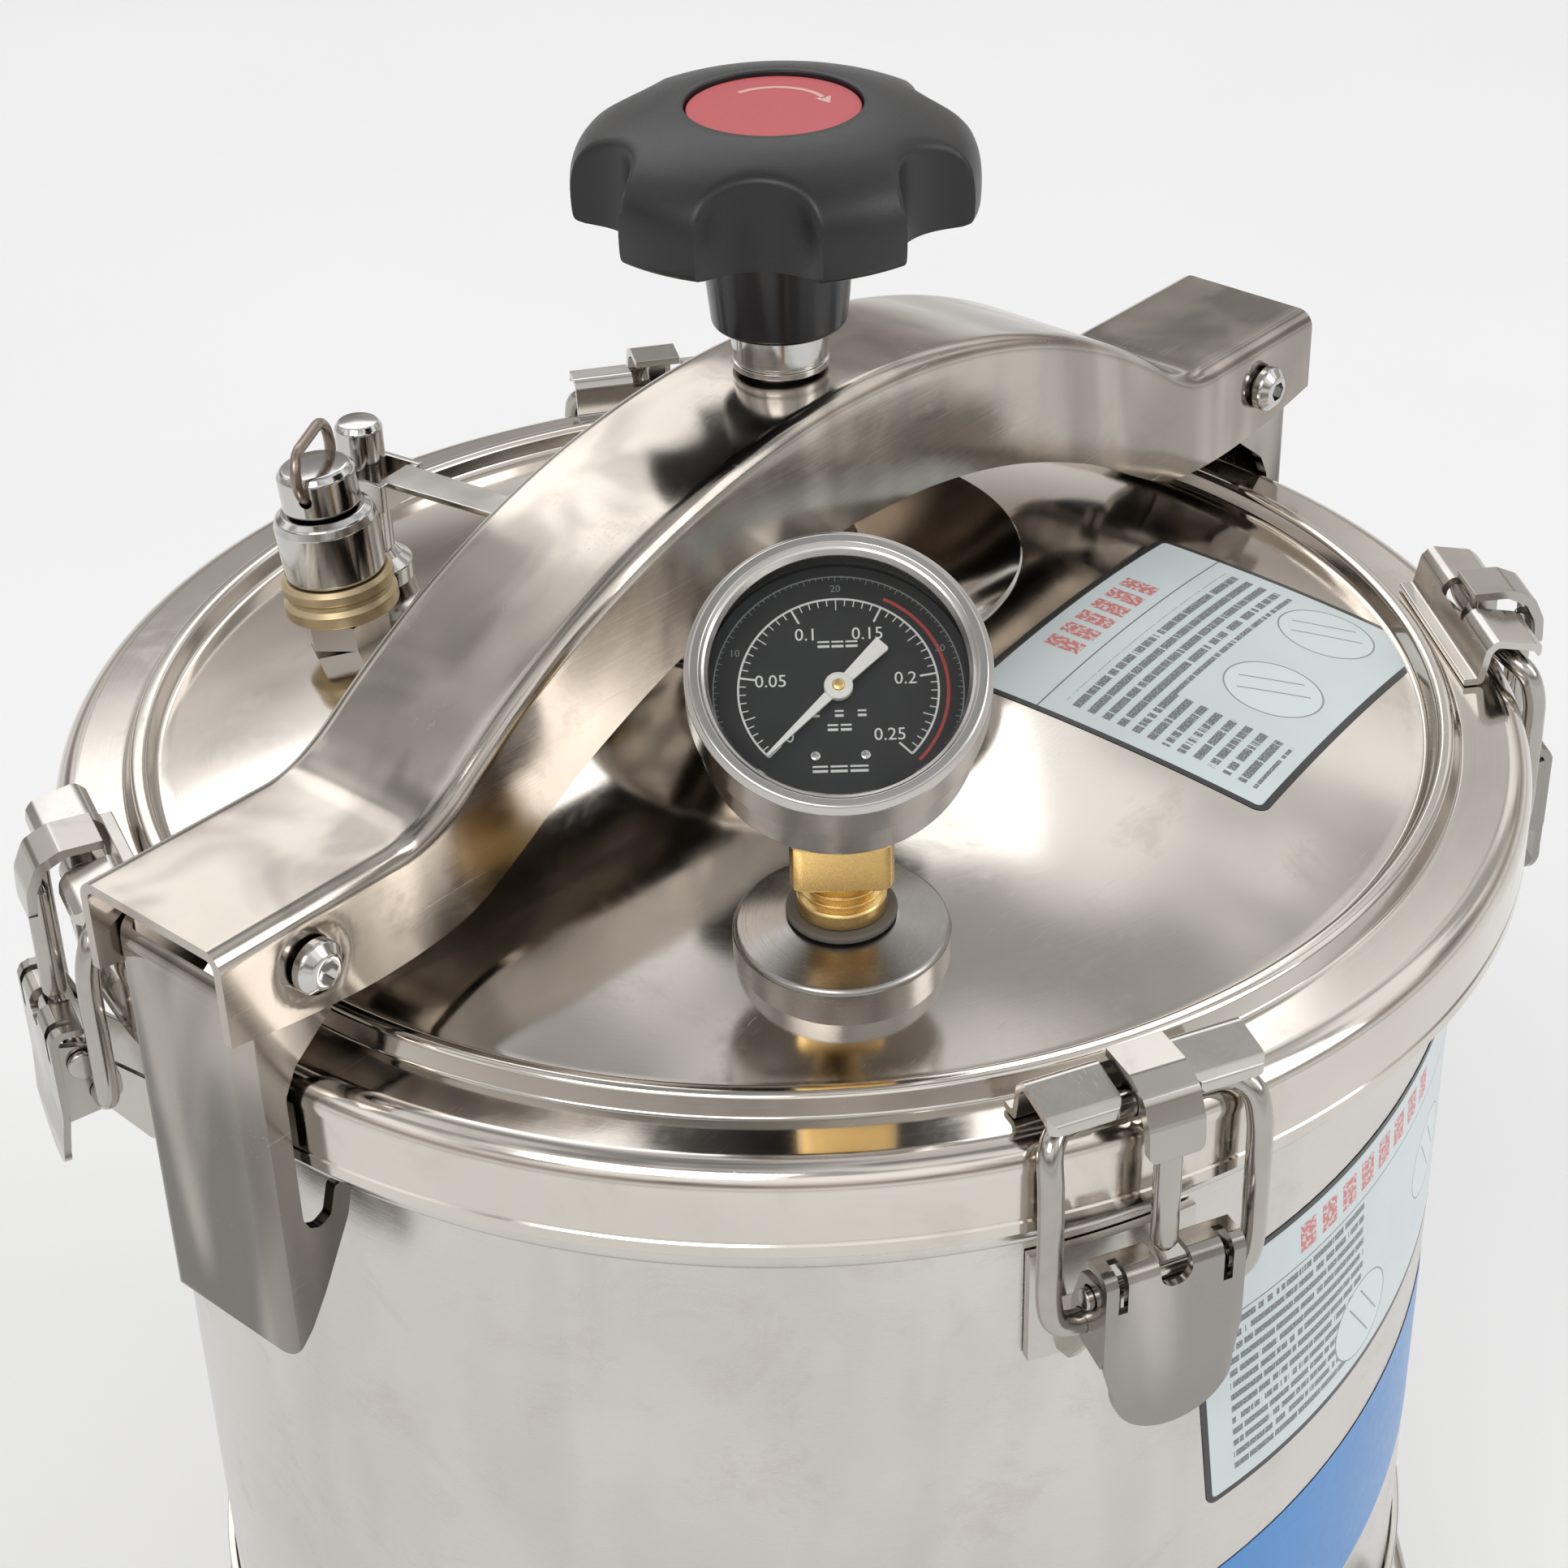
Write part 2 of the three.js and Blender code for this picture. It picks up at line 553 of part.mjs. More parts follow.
function valveBody() {
  return lathe([point(8, 17.3), point(11.3, 17.3), point(11.6, 18), point(11.9, 30), point(11.2, 32),
    point(9.6, 33), point(3.3, 33), point(3.3, 30), point(8, 30)], 20);
}

function valvePlunger() {
  const body = lathe([point(0, 18), point(6, 18), point(6, 20), point(2.6, 20), point(2.6, 33.6),
    point(8.4, 33.6), point(9, 34.4), point(9, 42), point(7.8, 43.6), point(0, 44.2)], 18);
  const pinHole = crossRod(1.6, 0, VALVE_PIN_UP, -12, 12, 10);
  return cut(body, pinHole);
}

function valvePullRing() {
  const reach = 11.2;
  const top = 52.5;
  const corners = [
    new THREE.Vector3(0, -5, VALVE_PIN_UP), new THREE.Vector3(0, -reach, VALVE_PIN_UP),
    new THREE.Vector3(0, -reach, top), new THREE.Vector3(0, reach, top),
    new THREE.Vector3(0, reach, VALVE_PIN_UP), new THREE.Vector3(0, 5, VALVE_PIN_UP),
  ];
  return rodAlong(bentPath(corners, 3), 1.1, 26, 5);
}

function valveSpring() {
  const turns = 4;
  const stepsPerTurn = 6;
  const low = 21.2;
  const high = 28.8;
  const points = Array.from({ length: turns * stepsPerTurn + 1 }, (_, i) => {
    const turn = (2 * Math.PI * i) / stepsPerTurn;
    const z = low + ((high - low) * i) / (turns * stepsPerTurn);
    return new THREE.Vector3(5 * Math.cos(turn), 5 * Math.sin(turn), z);
  });
  return rodAlong(new THREE.CatmullRomCurve3(points), 0.7, turns * stepsPerTurn, 4);
}

function ventValve() {
  const body = lathe([point(0, -6), point(9.5, -6), point(9.5, 6), point(7, 8), point(5.6, 10),
    point(5.6, 41), point(4.6, 42.4), point(0, 43)], 20);
  const pin = crossRod(1.5, 0, VENT_PIN_UP, -9.4, 9.4, 10);
  return join(body, pin);
}

function ventLever() {
  const inside = 6.1;
  const outside = 7.7;
  const low = VENT_PIN_UP - 3.5;
  const high = VENT_PIN_UP + 3.5;
  const cheek = [point(-4, low), point(12, low), point(12, high), point(-4, high)];
  const cheeks = [sidePlate(cheek, -outside, -inside), sidePlate(cheek, inside, outside)];
  const bridge = box(9.4, 12, -outside, outside, low, high);
  const blade = new THREE.Shape([point(9.4, -5), point(VENT_LEVER_LENGTH - 4, -4.5),
    point(VENT_LEVER_LENGTH, -2), point(VENT_LEVER_LENGTH, 2), point(VENT_LEVER_LENGTH - 4, 4.5), point(9.4, 5)]);
  const pinHole = crossRod(1.9, 0, VENT_PIN_UP, -12, 12, 10);
  return cut(join(...cheeks, bridge, flatPlate(blade, high - 1.5, high)), pinHole);
}

// ---------------------------------------------------------------- side latches

const BASE_EAR_IN = 10.4;
const BASE_EAR_OUT = 12.4;
const LEVER_CHEEK_IN = 13.2;
const LEVER_CHEEK_OUT = 15;
const PIN_HOLE = 2.6;

const latchHole = (at) => crossRod(PIN_HOLE, at.x, at.y, -20, 20, 12);

function latchBase() {
  const plate = box(POT_RADIUS - 6, POT_RADIUS + 2.6, -18.5, 18.5, -60, -33);
  const ear = [point(POT_RADIUS, -59), point(160, -57), point(176, -33.5), point(175.8, -28.2),
    point(172, -26), point(168.4, -28), point(167.4, -32.4), point(POT_RADIUS, -46)];
  const ears = [sidePlate(ear, -BASE_EAR_OUT, -BASE_EAR_IN), sidePlate(ear, BASE_EAR_IN, BASE_EAR_OUT)];
  return cut(join(plate, ...ears), latchHole(LATCH_PIVOT), potSkin(-80, 0));
}

function latchPin() {
  const shank = crossRod(2.2, LATCH_PIVOT.x, LATCH_PIVOT.y, -16.6, 16.6, 12);
  const head = crossRod(3.4, LATCH_PIVOT.x, LATCH_PIVOT.y, LEVER_CHEEK_OUT + GAP, 16.8, 12);
  return join(shank, head);
}

function latchLever() {
  const front = [point(178.2, -24), point(177.2, -22), point(175.4, -21.4), point(170.6, -21.5),
    point(170.6, -23.2), point(175, -23.2), point(176, -23.9), point(176.4, -25.4), point(176.4, -44),
    point(177.4, -54), point(177, -63), point(178.8, -63), point(179.2, -53.8), point(178.2, -43.8)];
  const trimmed = trimLeverFace(sidePlate(front, -LEVER_CHEEK_OUT, LEVER_CHEEK_OUT));
  const cheek = [point(176.8, -24.6), point(176.8, -44.6), point(168.6, -43.2), point(164.6, -40.4),
    point(164.6, -36), point(168, -26.5)];
  const nearCheek = sidePlate(cheek, -LEVER_CHEEK_OUT, -LEVER_CHEEK_IN);
  const farCheek = sidePlate(cheek, LEVER_CHEEK_IN, LEVER_CHEEK_OUT);
  const rodSlot = box(166, 190, -3.6, 3.6, -26.6, -15);
  return cut(join(trimmed, nearCheek, farCheek), latchHole(LATCH_PIVOT), latchHole(BAIL_PIVOT), rodSlot);
}

// Rounds the lower end of the lever's face plate by keeping what lies behind a tongue-shaped outline.
function trimLeverFace(plate) {
  const tongue = new THREE.Shape([point(-16, -15), point(16, -15), point(16, -45), point(13, -50),
    point(13, -55.5), point(9.4, -60.2), point(0, -62.4), point(-9.4, -60.2), point(-13, -55.5), point(-13, -50),
    point(-16, -45)]);
  const stamp = new THREE.ExtrudeGeometry(tongue, { depth: 40, bevelEnabled: false })
    .rotateX(Math.PI / 2).rotateZ(Math.PI / 2).translate(150, 0, 0);
  return fromSolid(toSolid(plate).intersect(toSolid(stamp)));
}

function latchBail() {
  const tip = LEVER_CHEEK_IN - 0.2;
  const side = (sign) => [
    new THREE.Vector3(BAIL_BAR.x, sign * BAIL_HALF_WIDTH, BAIL_BAR.y),
    new THREE.Vector3(BAIL_PIVOT.x, sign * BAIL_HALF_WIDTH, BAIL_BAR.y),
    new THREE.Vector3(BAIL_PIVOT.x, sign * BAIL_HALF_WIDTH, BAIL_PIVOT.y),
    new THREE.Vector3(BAIL_PIVOT.x, sign * tip, BAIL_PIVOT.y),
  ];
  return rodAlong(bentPath([...side(-1).reverse(), ...side(1)], 3), WIRE_RADIUS, 30, 6);
}

function latchHook() {
  const eye = crossRod(4.2, BAIL_BAR.x, BAIL_BAR.y, -2.6, 2.6, 12);
  const shank = box(160.4, 165.6, -2.6, 2.6, BAIL_BAR.y, 16);
  const strap = [point(159, 14.4), point(166.6, 14.4), point(169.8, 12.8), point(171.2, 8.5), point(171.7, 2),
    point(173.5, 2), point(173.1, 9), point(171.6, 13.6), point(167.6, 16.3), point(159, 16.4)];
  const tongue = sidePlate(strap, -5.6, 5.6);
  const rod = new THREE.CylinderGeometry(2.4, 2.4, 26.4, 12).rotateX(Math.PI / 2).translate(172.8, 0, -9.2);
  const barHole = crossRod(WIRE_RADIUS + 0.35, BAIL_BAR.x, BAIL_BAR.y, -10, 10, 12);
  const belowBar = box(150, 169, -10, 10, -5, 4);
  return cut(join(eye, shank, tongue, rod), barHole, belowBar);
}

function latchStrike() {
  const rim = LID_RIM_RISE + GAP;
  const awning = [point(151, rim), point(156.4, rim), point(158, 10.4), point(159.6, 12), point(166.6, 12),
    point(168, 9.9), point(169.6, 9.9), point(168.8, 12.8), point(167.6, 13.6), point(158.8, 13.6),
    point(156.6, 11.4), point(155, 4.9), point(151, 4.9)];
  const gapForHook = box(157.4, 180, -3.4, 3.4, 0, 30);
  return cut(sidePlate(awning, -23, 23), gapForHook);
}

// ---------------------------------------------------------------- assembly

const canner = new THREE.Group();

function addPotAndLid() {
  place(canner, 'base_plate', basePlate(), SATIN);
  place(canner, 'pot_shell', potShell(), SATIN);
  place(canner, 'canning_rack', canningRack(), SATIN);
  place(canner, 'lid_gasket', lidGasket(), RUBBER);
  place(canner, 'lid_shell', lidShell(), POLISHED);
  for (const [side, angle] of Object.entries(HANDLE_ANGLES)) {
    const frame = groupAt(canner, 0, angle, HANDLE_UP);
    place(frame, `handle_mount_${side}`, handleMount(), SATIN);
    place(frame, `side_handle_${side}`, sideHandle(), WIRE);
  }
}

function addClamp(top) {
  place(top, 'clamp_beam', clampBeam(), POLISHED);
  for (const [end, side] of [['near', -1], ['far', 1]]) {
    place(top, `clamp_arm_${end}`, clampArm(side), POLISHED);
    const pivot = groupAt(top, 0, 0, PIVOT_UP);
    pivot.position.x = side * PIVOT_OUT;
    place(pivot, `beam_bolt_${end}`, beamBolt(), CHROME);
    place(pivot, `beam_nut_${end}`, beamNut(), CHROME);
  }
  place(top, 'spindle', spindle(), CHROME);
  place(top, 'pressure_plate', pressurePlate(), POLISHED);
  place(top, 'knob', knob(), BLACK_PLASTIC);
  place(top, 'knob_cap', disc(KNOB_CAP_RADIUS, KNOB_TOP - 2.3, KNOB_TOP - 1.2, 32), RED_PLASTIC);
}

// Moves a boss's underside clear of the dome, in the boss's own frame.
function seatOnDome(mesh) {
  mesh.updateWorldMatrix(true, false);
  const toLocal = mesh.matrixWorld.clone().invert();
  const clear = [142.5, 96, 48, 0].map((radius) => point(radius, RIM_Z + domeHeight(radius) + GAP));
  const dome = lathe([point(0, RIM_Z - 20), point(142.5, RIM_Z - 20), ...clear]);
  mesh.geometry = cut(mesh.geometry, dome.applyMatrix4(toLocal));
}

function addGauge() {
  const stand = groupAt(canner, GAUGE_OUT, GAUGE_ANGLE, RIM_Z + domeHeight(GAUGE_OUT));
  stand.rotation.z = THREE.MathUtils.degToRad(GAUGE_FACING);
  const leaning = new THREE.Group();
  leaning.rotation.y = THREE.MathUtils.degToRad(GAUGE_LEAN);
  stand.add(leaning);

  const backPoint = new THREE.Vector3(-GAUGE_BACK_IN, 0, GAUGE_BACK_UP);
  const turn = THREE.MathUtils.degToRad(GAUGE_TILT - GAUGE_LEAN);
  const backAxis = new THREE.Vector3(Math.sin(turn), 0, Math.cos(turn));
  const flange = place(leaning, 'gauge_flange', gaugeFlange(), CHROME);
  seatOnDome(flange);
  place(leaning, 'gauge_washer', tube(6, 11.4, 8.1, 10.1, 20), RUBBER);
  place(leaning, 'gauge_stem', gaugeStem(backPoint, backAxis), BRASS);

  const head = new THREE.Group();
  head.position.copy(backPoint);
  head.rotation.y = turn;
  leaning.add(head);
  place(head, 'gauge_case', gaugeCase(), CHROME);
  place(head, 'gauge_bezel', gaugeBezel(), CHROME);
  place(head, 'gauge_glass', disc(26.2, GAUGE_DEPTH + 0.4, GAUGE_DEPTH + 2.1, 32), GLASS);
  place(head, 'gauge_dial', gaugeDial(), DIAL);
  const needle = place(head, 'gauge_needle', gaugeNeedle(), NEEDLE);
  needle.rotation.z = THREE.MathUtils.degToRad(GAUGE_NEEDLE_REST);
}

function addValves() {
  const valve = groupAt(canner, VALVE_OUT, VALVE_ANGLE, RIM_Z + domeHeight(VALVE_OUT));
  const upright = new THREE.Group();
  upright.rotation.y = THREE.MathUtils.degToRad(VALVE_LEAN);
  valve.add(upright);
  seatOnDome(place(upright, 'valve_hex_base', valveHexBase(), SATIN));
  place(upright, 'valve_seat', valveSeat(), BRASS);
  place(upright, 'valve_body', valveBody(), CHROME);
  place(upright, 'valve_plunger', valvePlunger(), CHROME);
  place(upright, 'valve_spring', valveSpring(), WIRE);
  place(upright, 'valve_pull_ring', valvePullRing(), WIRE);

  const vent = groupAt(canner, VENT_OUT, VENT_ANGLE, RIM_Z + domeHeight(VENT_OUT));
  vent.rotation.z = THREE.MathUtils.degToRad(VENT_LEVER_ANGLE);
  seatOnDome(place(vent, 'vent_valve', ventValve(), CHROME));
  place(vent, 'vent_lever', ventLever(), POLISHED);
}

function addLatches() {
  LATCH_ANGLES.forEach((angle, i) => {
    const latch = groupAt(canner, 0, angle, RIM_Z);
    const number = i + 1;
    place(latch, `latch_strike_${number}`, latchStrike(), POLISHED);
    place(latch, `latch_base_${number}`, latchBase(), SATIN);
    place(latch, `latch_pin_${number}`, latchPin(), WIRE);
    place(latch, `latch_lever_${number}`, latchLever(), POLISHED);
    place(latch, `latch_bail_${number}`, latchBail(), WIRE);
    place(latch, `latch_hook_${number}`, latchHook(), SATIN);
  });
}

addPotAndLid();
addClamp(groupAt(canner, 0, 0, RIM_Z));
addGauge();
addValves();
addLatches();

export default canner;
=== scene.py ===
import json
import math

import bmesh
import bpy
import numpy as np
from mathutils import Matrix, Vector


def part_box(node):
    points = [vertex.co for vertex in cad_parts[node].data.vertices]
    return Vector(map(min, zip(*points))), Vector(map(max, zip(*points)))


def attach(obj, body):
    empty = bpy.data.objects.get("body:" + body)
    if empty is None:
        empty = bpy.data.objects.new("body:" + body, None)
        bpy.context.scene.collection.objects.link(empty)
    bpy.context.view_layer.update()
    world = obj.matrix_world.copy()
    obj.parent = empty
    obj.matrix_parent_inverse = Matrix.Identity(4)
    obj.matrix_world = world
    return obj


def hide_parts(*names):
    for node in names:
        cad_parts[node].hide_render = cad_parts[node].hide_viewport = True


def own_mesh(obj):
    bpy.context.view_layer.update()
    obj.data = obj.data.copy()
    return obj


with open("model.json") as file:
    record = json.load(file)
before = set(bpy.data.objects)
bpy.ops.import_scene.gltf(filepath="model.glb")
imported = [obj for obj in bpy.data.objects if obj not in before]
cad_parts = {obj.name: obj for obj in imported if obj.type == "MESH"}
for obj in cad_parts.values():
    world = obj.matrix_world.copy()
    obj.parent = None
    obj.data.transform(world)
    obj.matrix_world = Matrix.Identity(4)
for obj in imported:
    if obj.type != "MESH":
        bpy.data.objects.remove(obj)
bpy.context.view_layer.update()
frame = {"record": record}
scene = bpy.context.scene

# Lengths are in millimetres, and heights are above the lid's rim level unless they say otherwise.
# A shape is a pair of lists, (vertices, faces), until it becomes a mesh in metres.
MM = 0.001
CROWN = 22.0
DOME_RADIUS = 529.0
SHEET = 1.6
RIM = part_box("lid_shell")[1].z / MM - CROWN
LID_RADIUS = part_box("lid_shell")[1].x / MM
POT_WALL = 153.0
BEAM_HALF_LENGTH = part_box("clamp_beam")[1].x / MM
BEAM_HALF_WIDTH = 20.5
BEAM_SHEET = 2.2
BEAM_CORNER = 4.2
BEAM_END_TOP = 41.5
ARCH_TOP, ARCH_RADIUS = 87, 195.0
ARCH_UNDERSIDE, UNDERSIDE_RADIUS = 56, 190.0
ARM_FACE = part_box("clamp_arm_far")[1].x / MM
PIVOT = (158.0, 28.5)
PRESS_RADIUS = 84.0
LATCH_ANGLES = (-115, -40, 54, 156)
LATCH_PIN = (172.0, -30.0)
BAIL_PIN = (169.0, -38.0)
BAIL_BAR = (163.0, 6.2)
HANDLE_ANGLES = (("left", 132), ("right", -48))
HANDLE_LEVEL = -241
CORNER_SHARE = 0.48
SLOTS = {part["node"]: part["material_slot"] for part in frame["record"]["subparts"]}


def dome(radius):
    return CROWN - radius * radius / (2 * DOME_RADIUS)


def rot(axis, degrees):
    return Matrix.Rotation(math.radians(degrees), 4, axis)


def shift(x, y, z):
    return Matrix.Translation((x, y, z))


def polar(angle, radius, z=0):
    t = math.radians(angle)
    return Vector((radius * math.cos(t), radius * math.sin(t), z))


def smooth_step(x, low, high):
    t = np.clip((np.asarray(x, float) - low) / (high - low), 0, 1)
    return t * t * (3 - 2 * t)


# ------------------------------------------------------------------ outlines and paths

def corner_arc(p, before, after, radius, steps, share=1.0):
    """Points that round the corner at p and use up at most this share of its two sides."""
    a, b = before - p, after - p
    side_a, side_b = np.linalg.norm(a), np.linalg.norm(b)
    if radius <= 0 or side_a < 1e-6 or side_b < 1e-6:
        return [p]
    a, b = a / side_a, b / side_b
    half = math.acos(max(-1, min(1, float(a @ b)))) / 2
    if half > math.radians(88):
        return [p]
    reach = min(radius / math.tan(half), side_a * share, side_b * share)
    radius = reach * math.tan(half)
    middle = p + (a + b) / np.linalg.norm(a + b) * (radius / math.sin(half))
    start, end = p + a * reach - middle, p + b * reach - middle
    turn = math.acos(max(-1, min(1, float(start @ end) / (radius * radius))))
    out = []
    for k in range(steps + 1):
        t = k / steps
        out.append(middle + (math.sin((1 - t) * turn) * start + math.sin(t * turn) * end) / math.sin(turn))
    return out


def outline(*corners, radius=0.0, steps=6):
    """An outline from its corners, (x, y) or (x, y, r) where r rounds it; radius rounds the others."""
    out = []
    for i, corner in enumerate(corners):
        before, p, after = (np.array(corners[k % len(corners)][:2], float) for k in (i - 1, i, i + 1))
        r = corner[2] if len(corner) > 2 else radius
        out += [tuple(q) for q in corner_arc(p, before, after, r, steps, CORNER_SHARE)]
    return out


def bent(points, radius, spacing, steps=12):
    """3-D path of straight runs with round corners, sampled evenly enough to sweep."""
    p = [np.array(q, float) for q in points]
    out = [p[0]]
    for i in range(1, len(p) - 1):
        out += corner_arc(p[i], p[i - 1], p[i + 1], radius, steps)
    out.append(p[-1])
    dense = [out[0]]
    for q in out[1:]:
        start = dense[-1]
        pieces = max(1, round(float(np.linalg.norm(q - start)) / spacing))
        dense += [start + (q - start) * (k / pieces) for k in range(1, pieces + 1)]
    return dense


def smooth_line(points, steps):
    """Points of a curve through the given ones."""
    p = np.array(points, float)
    ends = np.vstack([2 * p[0] - p[1], p, 2 * p[-1] - p[-2]])
    out = []
    for i in range(len(p) - 1):
        a, b, c, d = ends[i:i + 4]
        for k in range(steps):
            t = k / steps
            bow = (2 * a - 5 * b + 4 * c - d) * t ** 2 + (3 * b - a - 3 * c + d) * t ** 3
            out.append(0.5 * (2 * b + (c - a) * t + bow))
    out.append(p[-1])
    return [tuple(q) for q in out]


def circle(radius, count, x=0, y=0):
    turns = [2 * math.pi * k / count for k in range(count)]
    return [(x + radius * math.cos(t), y + radius * math.sin(t)) for t in turns]


def arc(radius, degrees, centre=(0, 0)):
    turns = [math.radians(a) for a in degrees]
    return [(centre[0] + radius * math.cos(t), centre[1] + radius * math.sin(t)) for t in turns]


# ------------------------------------------------------------------ shapes

def spin(profile, segments=128, closed=False, radius_at=None):
    """A surface of revolution about Z; radius_at(angle, radius) may change a ring's radius."""
    verts, rings, faces = [], [], []
    for r, z in profile:
        if r < 1e-5:
            rings.append([len(verts)] * segments)
            verts.append((0, 0, z))
            continue
        rings.append(range(len(verts), len(verts) + segments))
        for k in range(segments):
            t = 2 * math.pi * k / segments
            radius = radius_at(t, r) if radius_at else r
            verts.append((radius * math.cos(t), radius * math.sin(t), z))
    pairs = list(zip(rings, rings[1:])) + ([(rings[-1], rings[0])] if closed else [])
    for low, high in pairs:
        for k in range(segments):
            n = (k + 1) % segments
            face = list(dict.fromkeys([low[k], low[n], high[n], high[k]]))
            if len(face) > 2:
                faces.append(face)
    return verts, faces


def plate(points, z0, z1):
    """An outline of (x, y) points, extruded along Z."""
    n = len(points)
    verts = [(x, y, z) for z in (z0, z1) for x, y in points]
    faces = [list(range(n))[::-1], list(range(n, 2 * n))]
    faces += [[i, (i + 1) % n, n + (i + 1) % n, n + i] for i in range(n)]
    return verts, faces


def prism(points, y0, y1):
    """An outline of (x, z) points, extruded along Y."""
    verts, faces = plate(points, y0, y1)
    return [(x, y, z) for x, z, y in verts], faces


def stamp(points, x0=150, x1=190):
    """An outline of (y, z) points, extruded along X."""
    verts, faces = plate(points, x0, x1)
    return [(x, y, z) for y, z, x in verts], faces


def block(x0, x1, y0, y1, z0, z1):
    return plate([(x0, y0), (x1, y0), (x1, y1), (x0, y1)], z0, z1)


def sweep(path, radius, sides=16):
    """Round wire along 3-D points."""
    p = np.array(path, float)
    tangents = np.gradient(p, axis=0)
    tangents /= np.linalg.norm(tangents, axis=1)[:, None]
    side = np.cross(tangents[0], [0, 0, 1] if abs(tangents[0][2]) < 0.9 else [1, 0, 0])
    verts = []
    for point, tangent in zip(p, tangents):
        side = side - tangent * (side @ tangent)
        side /= np.linalg.norm(side)
        other = np.cross(tangent, side)
        for k in range(sides):
            a = 2 * math.pi * k / sides
            verts.append(point + radius * (math.cos(a) * side + math.sin(a) * other))
    last = (len(p) - 1) * sides
    faces = [[i + k, i + (k + 1) % sides, i + sides + (k + 1) % sides, i + sides + k]
             for i in range(0, last, sides) for k in range(sides)]
    faces.append(list(range(sides))[::-1])
    faces.append([last + k for k in range(sides)])
    return verts, faces


def rod(start, end, radius, sides=24):
    middle = tuple((a + b) / 2 for a, b in zip(start, end))
    return sweep([start, middle, end], radius, sides)


def cross_rod(radius, place, y0, y1, sides=40):
    """A rod along Y through an (x, z) place."""
    return rod((place[0], y0, place[1]), (place[0], y1, place[1]), radius, sides)


def moved(shape, matrix):
    verts, faces = shape
    return [tuple(matrix @ Vector(v)) for v in verts], faces


def joined(shapes):
    verts, faces = [], []
    for v, f in shapes:
        offset = len(verts)
        verts += list(v)
        faces += [[i + offset for i in face] for face in f]
    return verts, faces


def up(points):
    """Heights above the rim become heights above the floor."""
    return [(r, z + RIM) for r, z in points]


# ------------------------------------------------------------------ meshes and pieces

def linked(data, name="scratch"):
    obj = bpy.data.objects.new(name, data)
    scene.collection.objects.link(obj)
    return obj


def mesh_from(shape):
    """A mesh in metres with its faces pointing out."""
    verts, faces = shape
    mesh = bpy.data.meshes.new("mesh")
    mesh.from_pydata([tuple(float(c) * MM for c in v) for v in verts], [], faces)
    mesh.update()
    bm = bmesh.new()
    bm.from_mesh(mesh)
    bmesh.ops.recalc_face_normals(bm, faces=bm.faces)
    bm.to_mesh(mesh)
    bm.free()
    return mesh


def shape_from(mesh):
    """The opposite of mesh_from; the mesh is removed."""
    shape = [tuple(c / MM for c in v.co) for v in mesh.vertices], [list(f.vertices) for f in mesh.polygons]
    bpy.data.meshes.remove(mesh)
    return shape


def merged(meshes):
    return joined([shape_from(mesh) for mesh in meshes])


def bake(obj):
    """The object's mesh with its modifiers applied, as a new mesh; the object is removed."""
    bpy.context.view_layer.update()
    mesh = bpy.data.meshes.new_from_object(obj.evaluated_get(bpy.context.evaluated_depsgraph_get()))
    bpy.data.objects.remove(obj)
    return mesh


def boolean(mesh, shapes, operation="DIFFERENCE"):
    obj = linked(mesh)
    tools = [linked(mesh_from(shape)) for shape in shapes]
    for tool in tools:
        modifier = obj.modifiers.new("bool", "BOOLEAN")
        modifier.operation = operation
        modifier.solver = "EXACT"
        modifier.object = tool
    result = bake(obj)
    for tool in tools:
        bpy.data.objects.remove(tool)
    return result


def beveled(mesh, width, angle=45, segments=2):
    obj = linked(mesh)
    modifier = obj.modifiers.new("bevel", "BEVEL")
    modifier.width = width * MM
    modifier.segments = segments
    modifier.limit_method = "ANGLE"
    modifier.angle_limit = math.radians(angle)
    modifier.miter_outer = "MITER_ARC"
    return bake(obj)


def finish_piece(name, mesh, material, body, node=None, slot=None, matrix=None, smooth=32, weighted=True):
    """A piece that rides on a body; one that stands for a node hides that node's part."""
    obj = linked(mesh, name)
    if not mesh.materials:
        mesh.materials.append(material)
    mesh.shade_smooth()
    mesh.set_sharp_from_angle(angle=math.radians(smooth))
    if weighted:
        modifier = obj.modifiers.new("weighted", "WEIGHTED_NORMAL")
        modifier.keep_sharp = True
    if matrix is not None:
        place = matrix.copy()
        place.translation = place.translation * MM
        obj.matrix_world = place
    if body:
        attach(obj, body)
    slot = slot or SLOTS.get(node)
    if node:
        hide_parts(node)
    return obj


def make(name, shape, material, body, node=None, **options):
    return finish_piece(name, mesh_from(shape), material, body, node, **options)


def turned(name, profile, material, body, node=None, segments=128, closed=False, **options):
    return make(name, spin(profile, segments, closed), material, body, node, **options)


# ------------------------------------------------------------------ materials

def shade(color, factor):
    return tuple(c * factor for c in color)


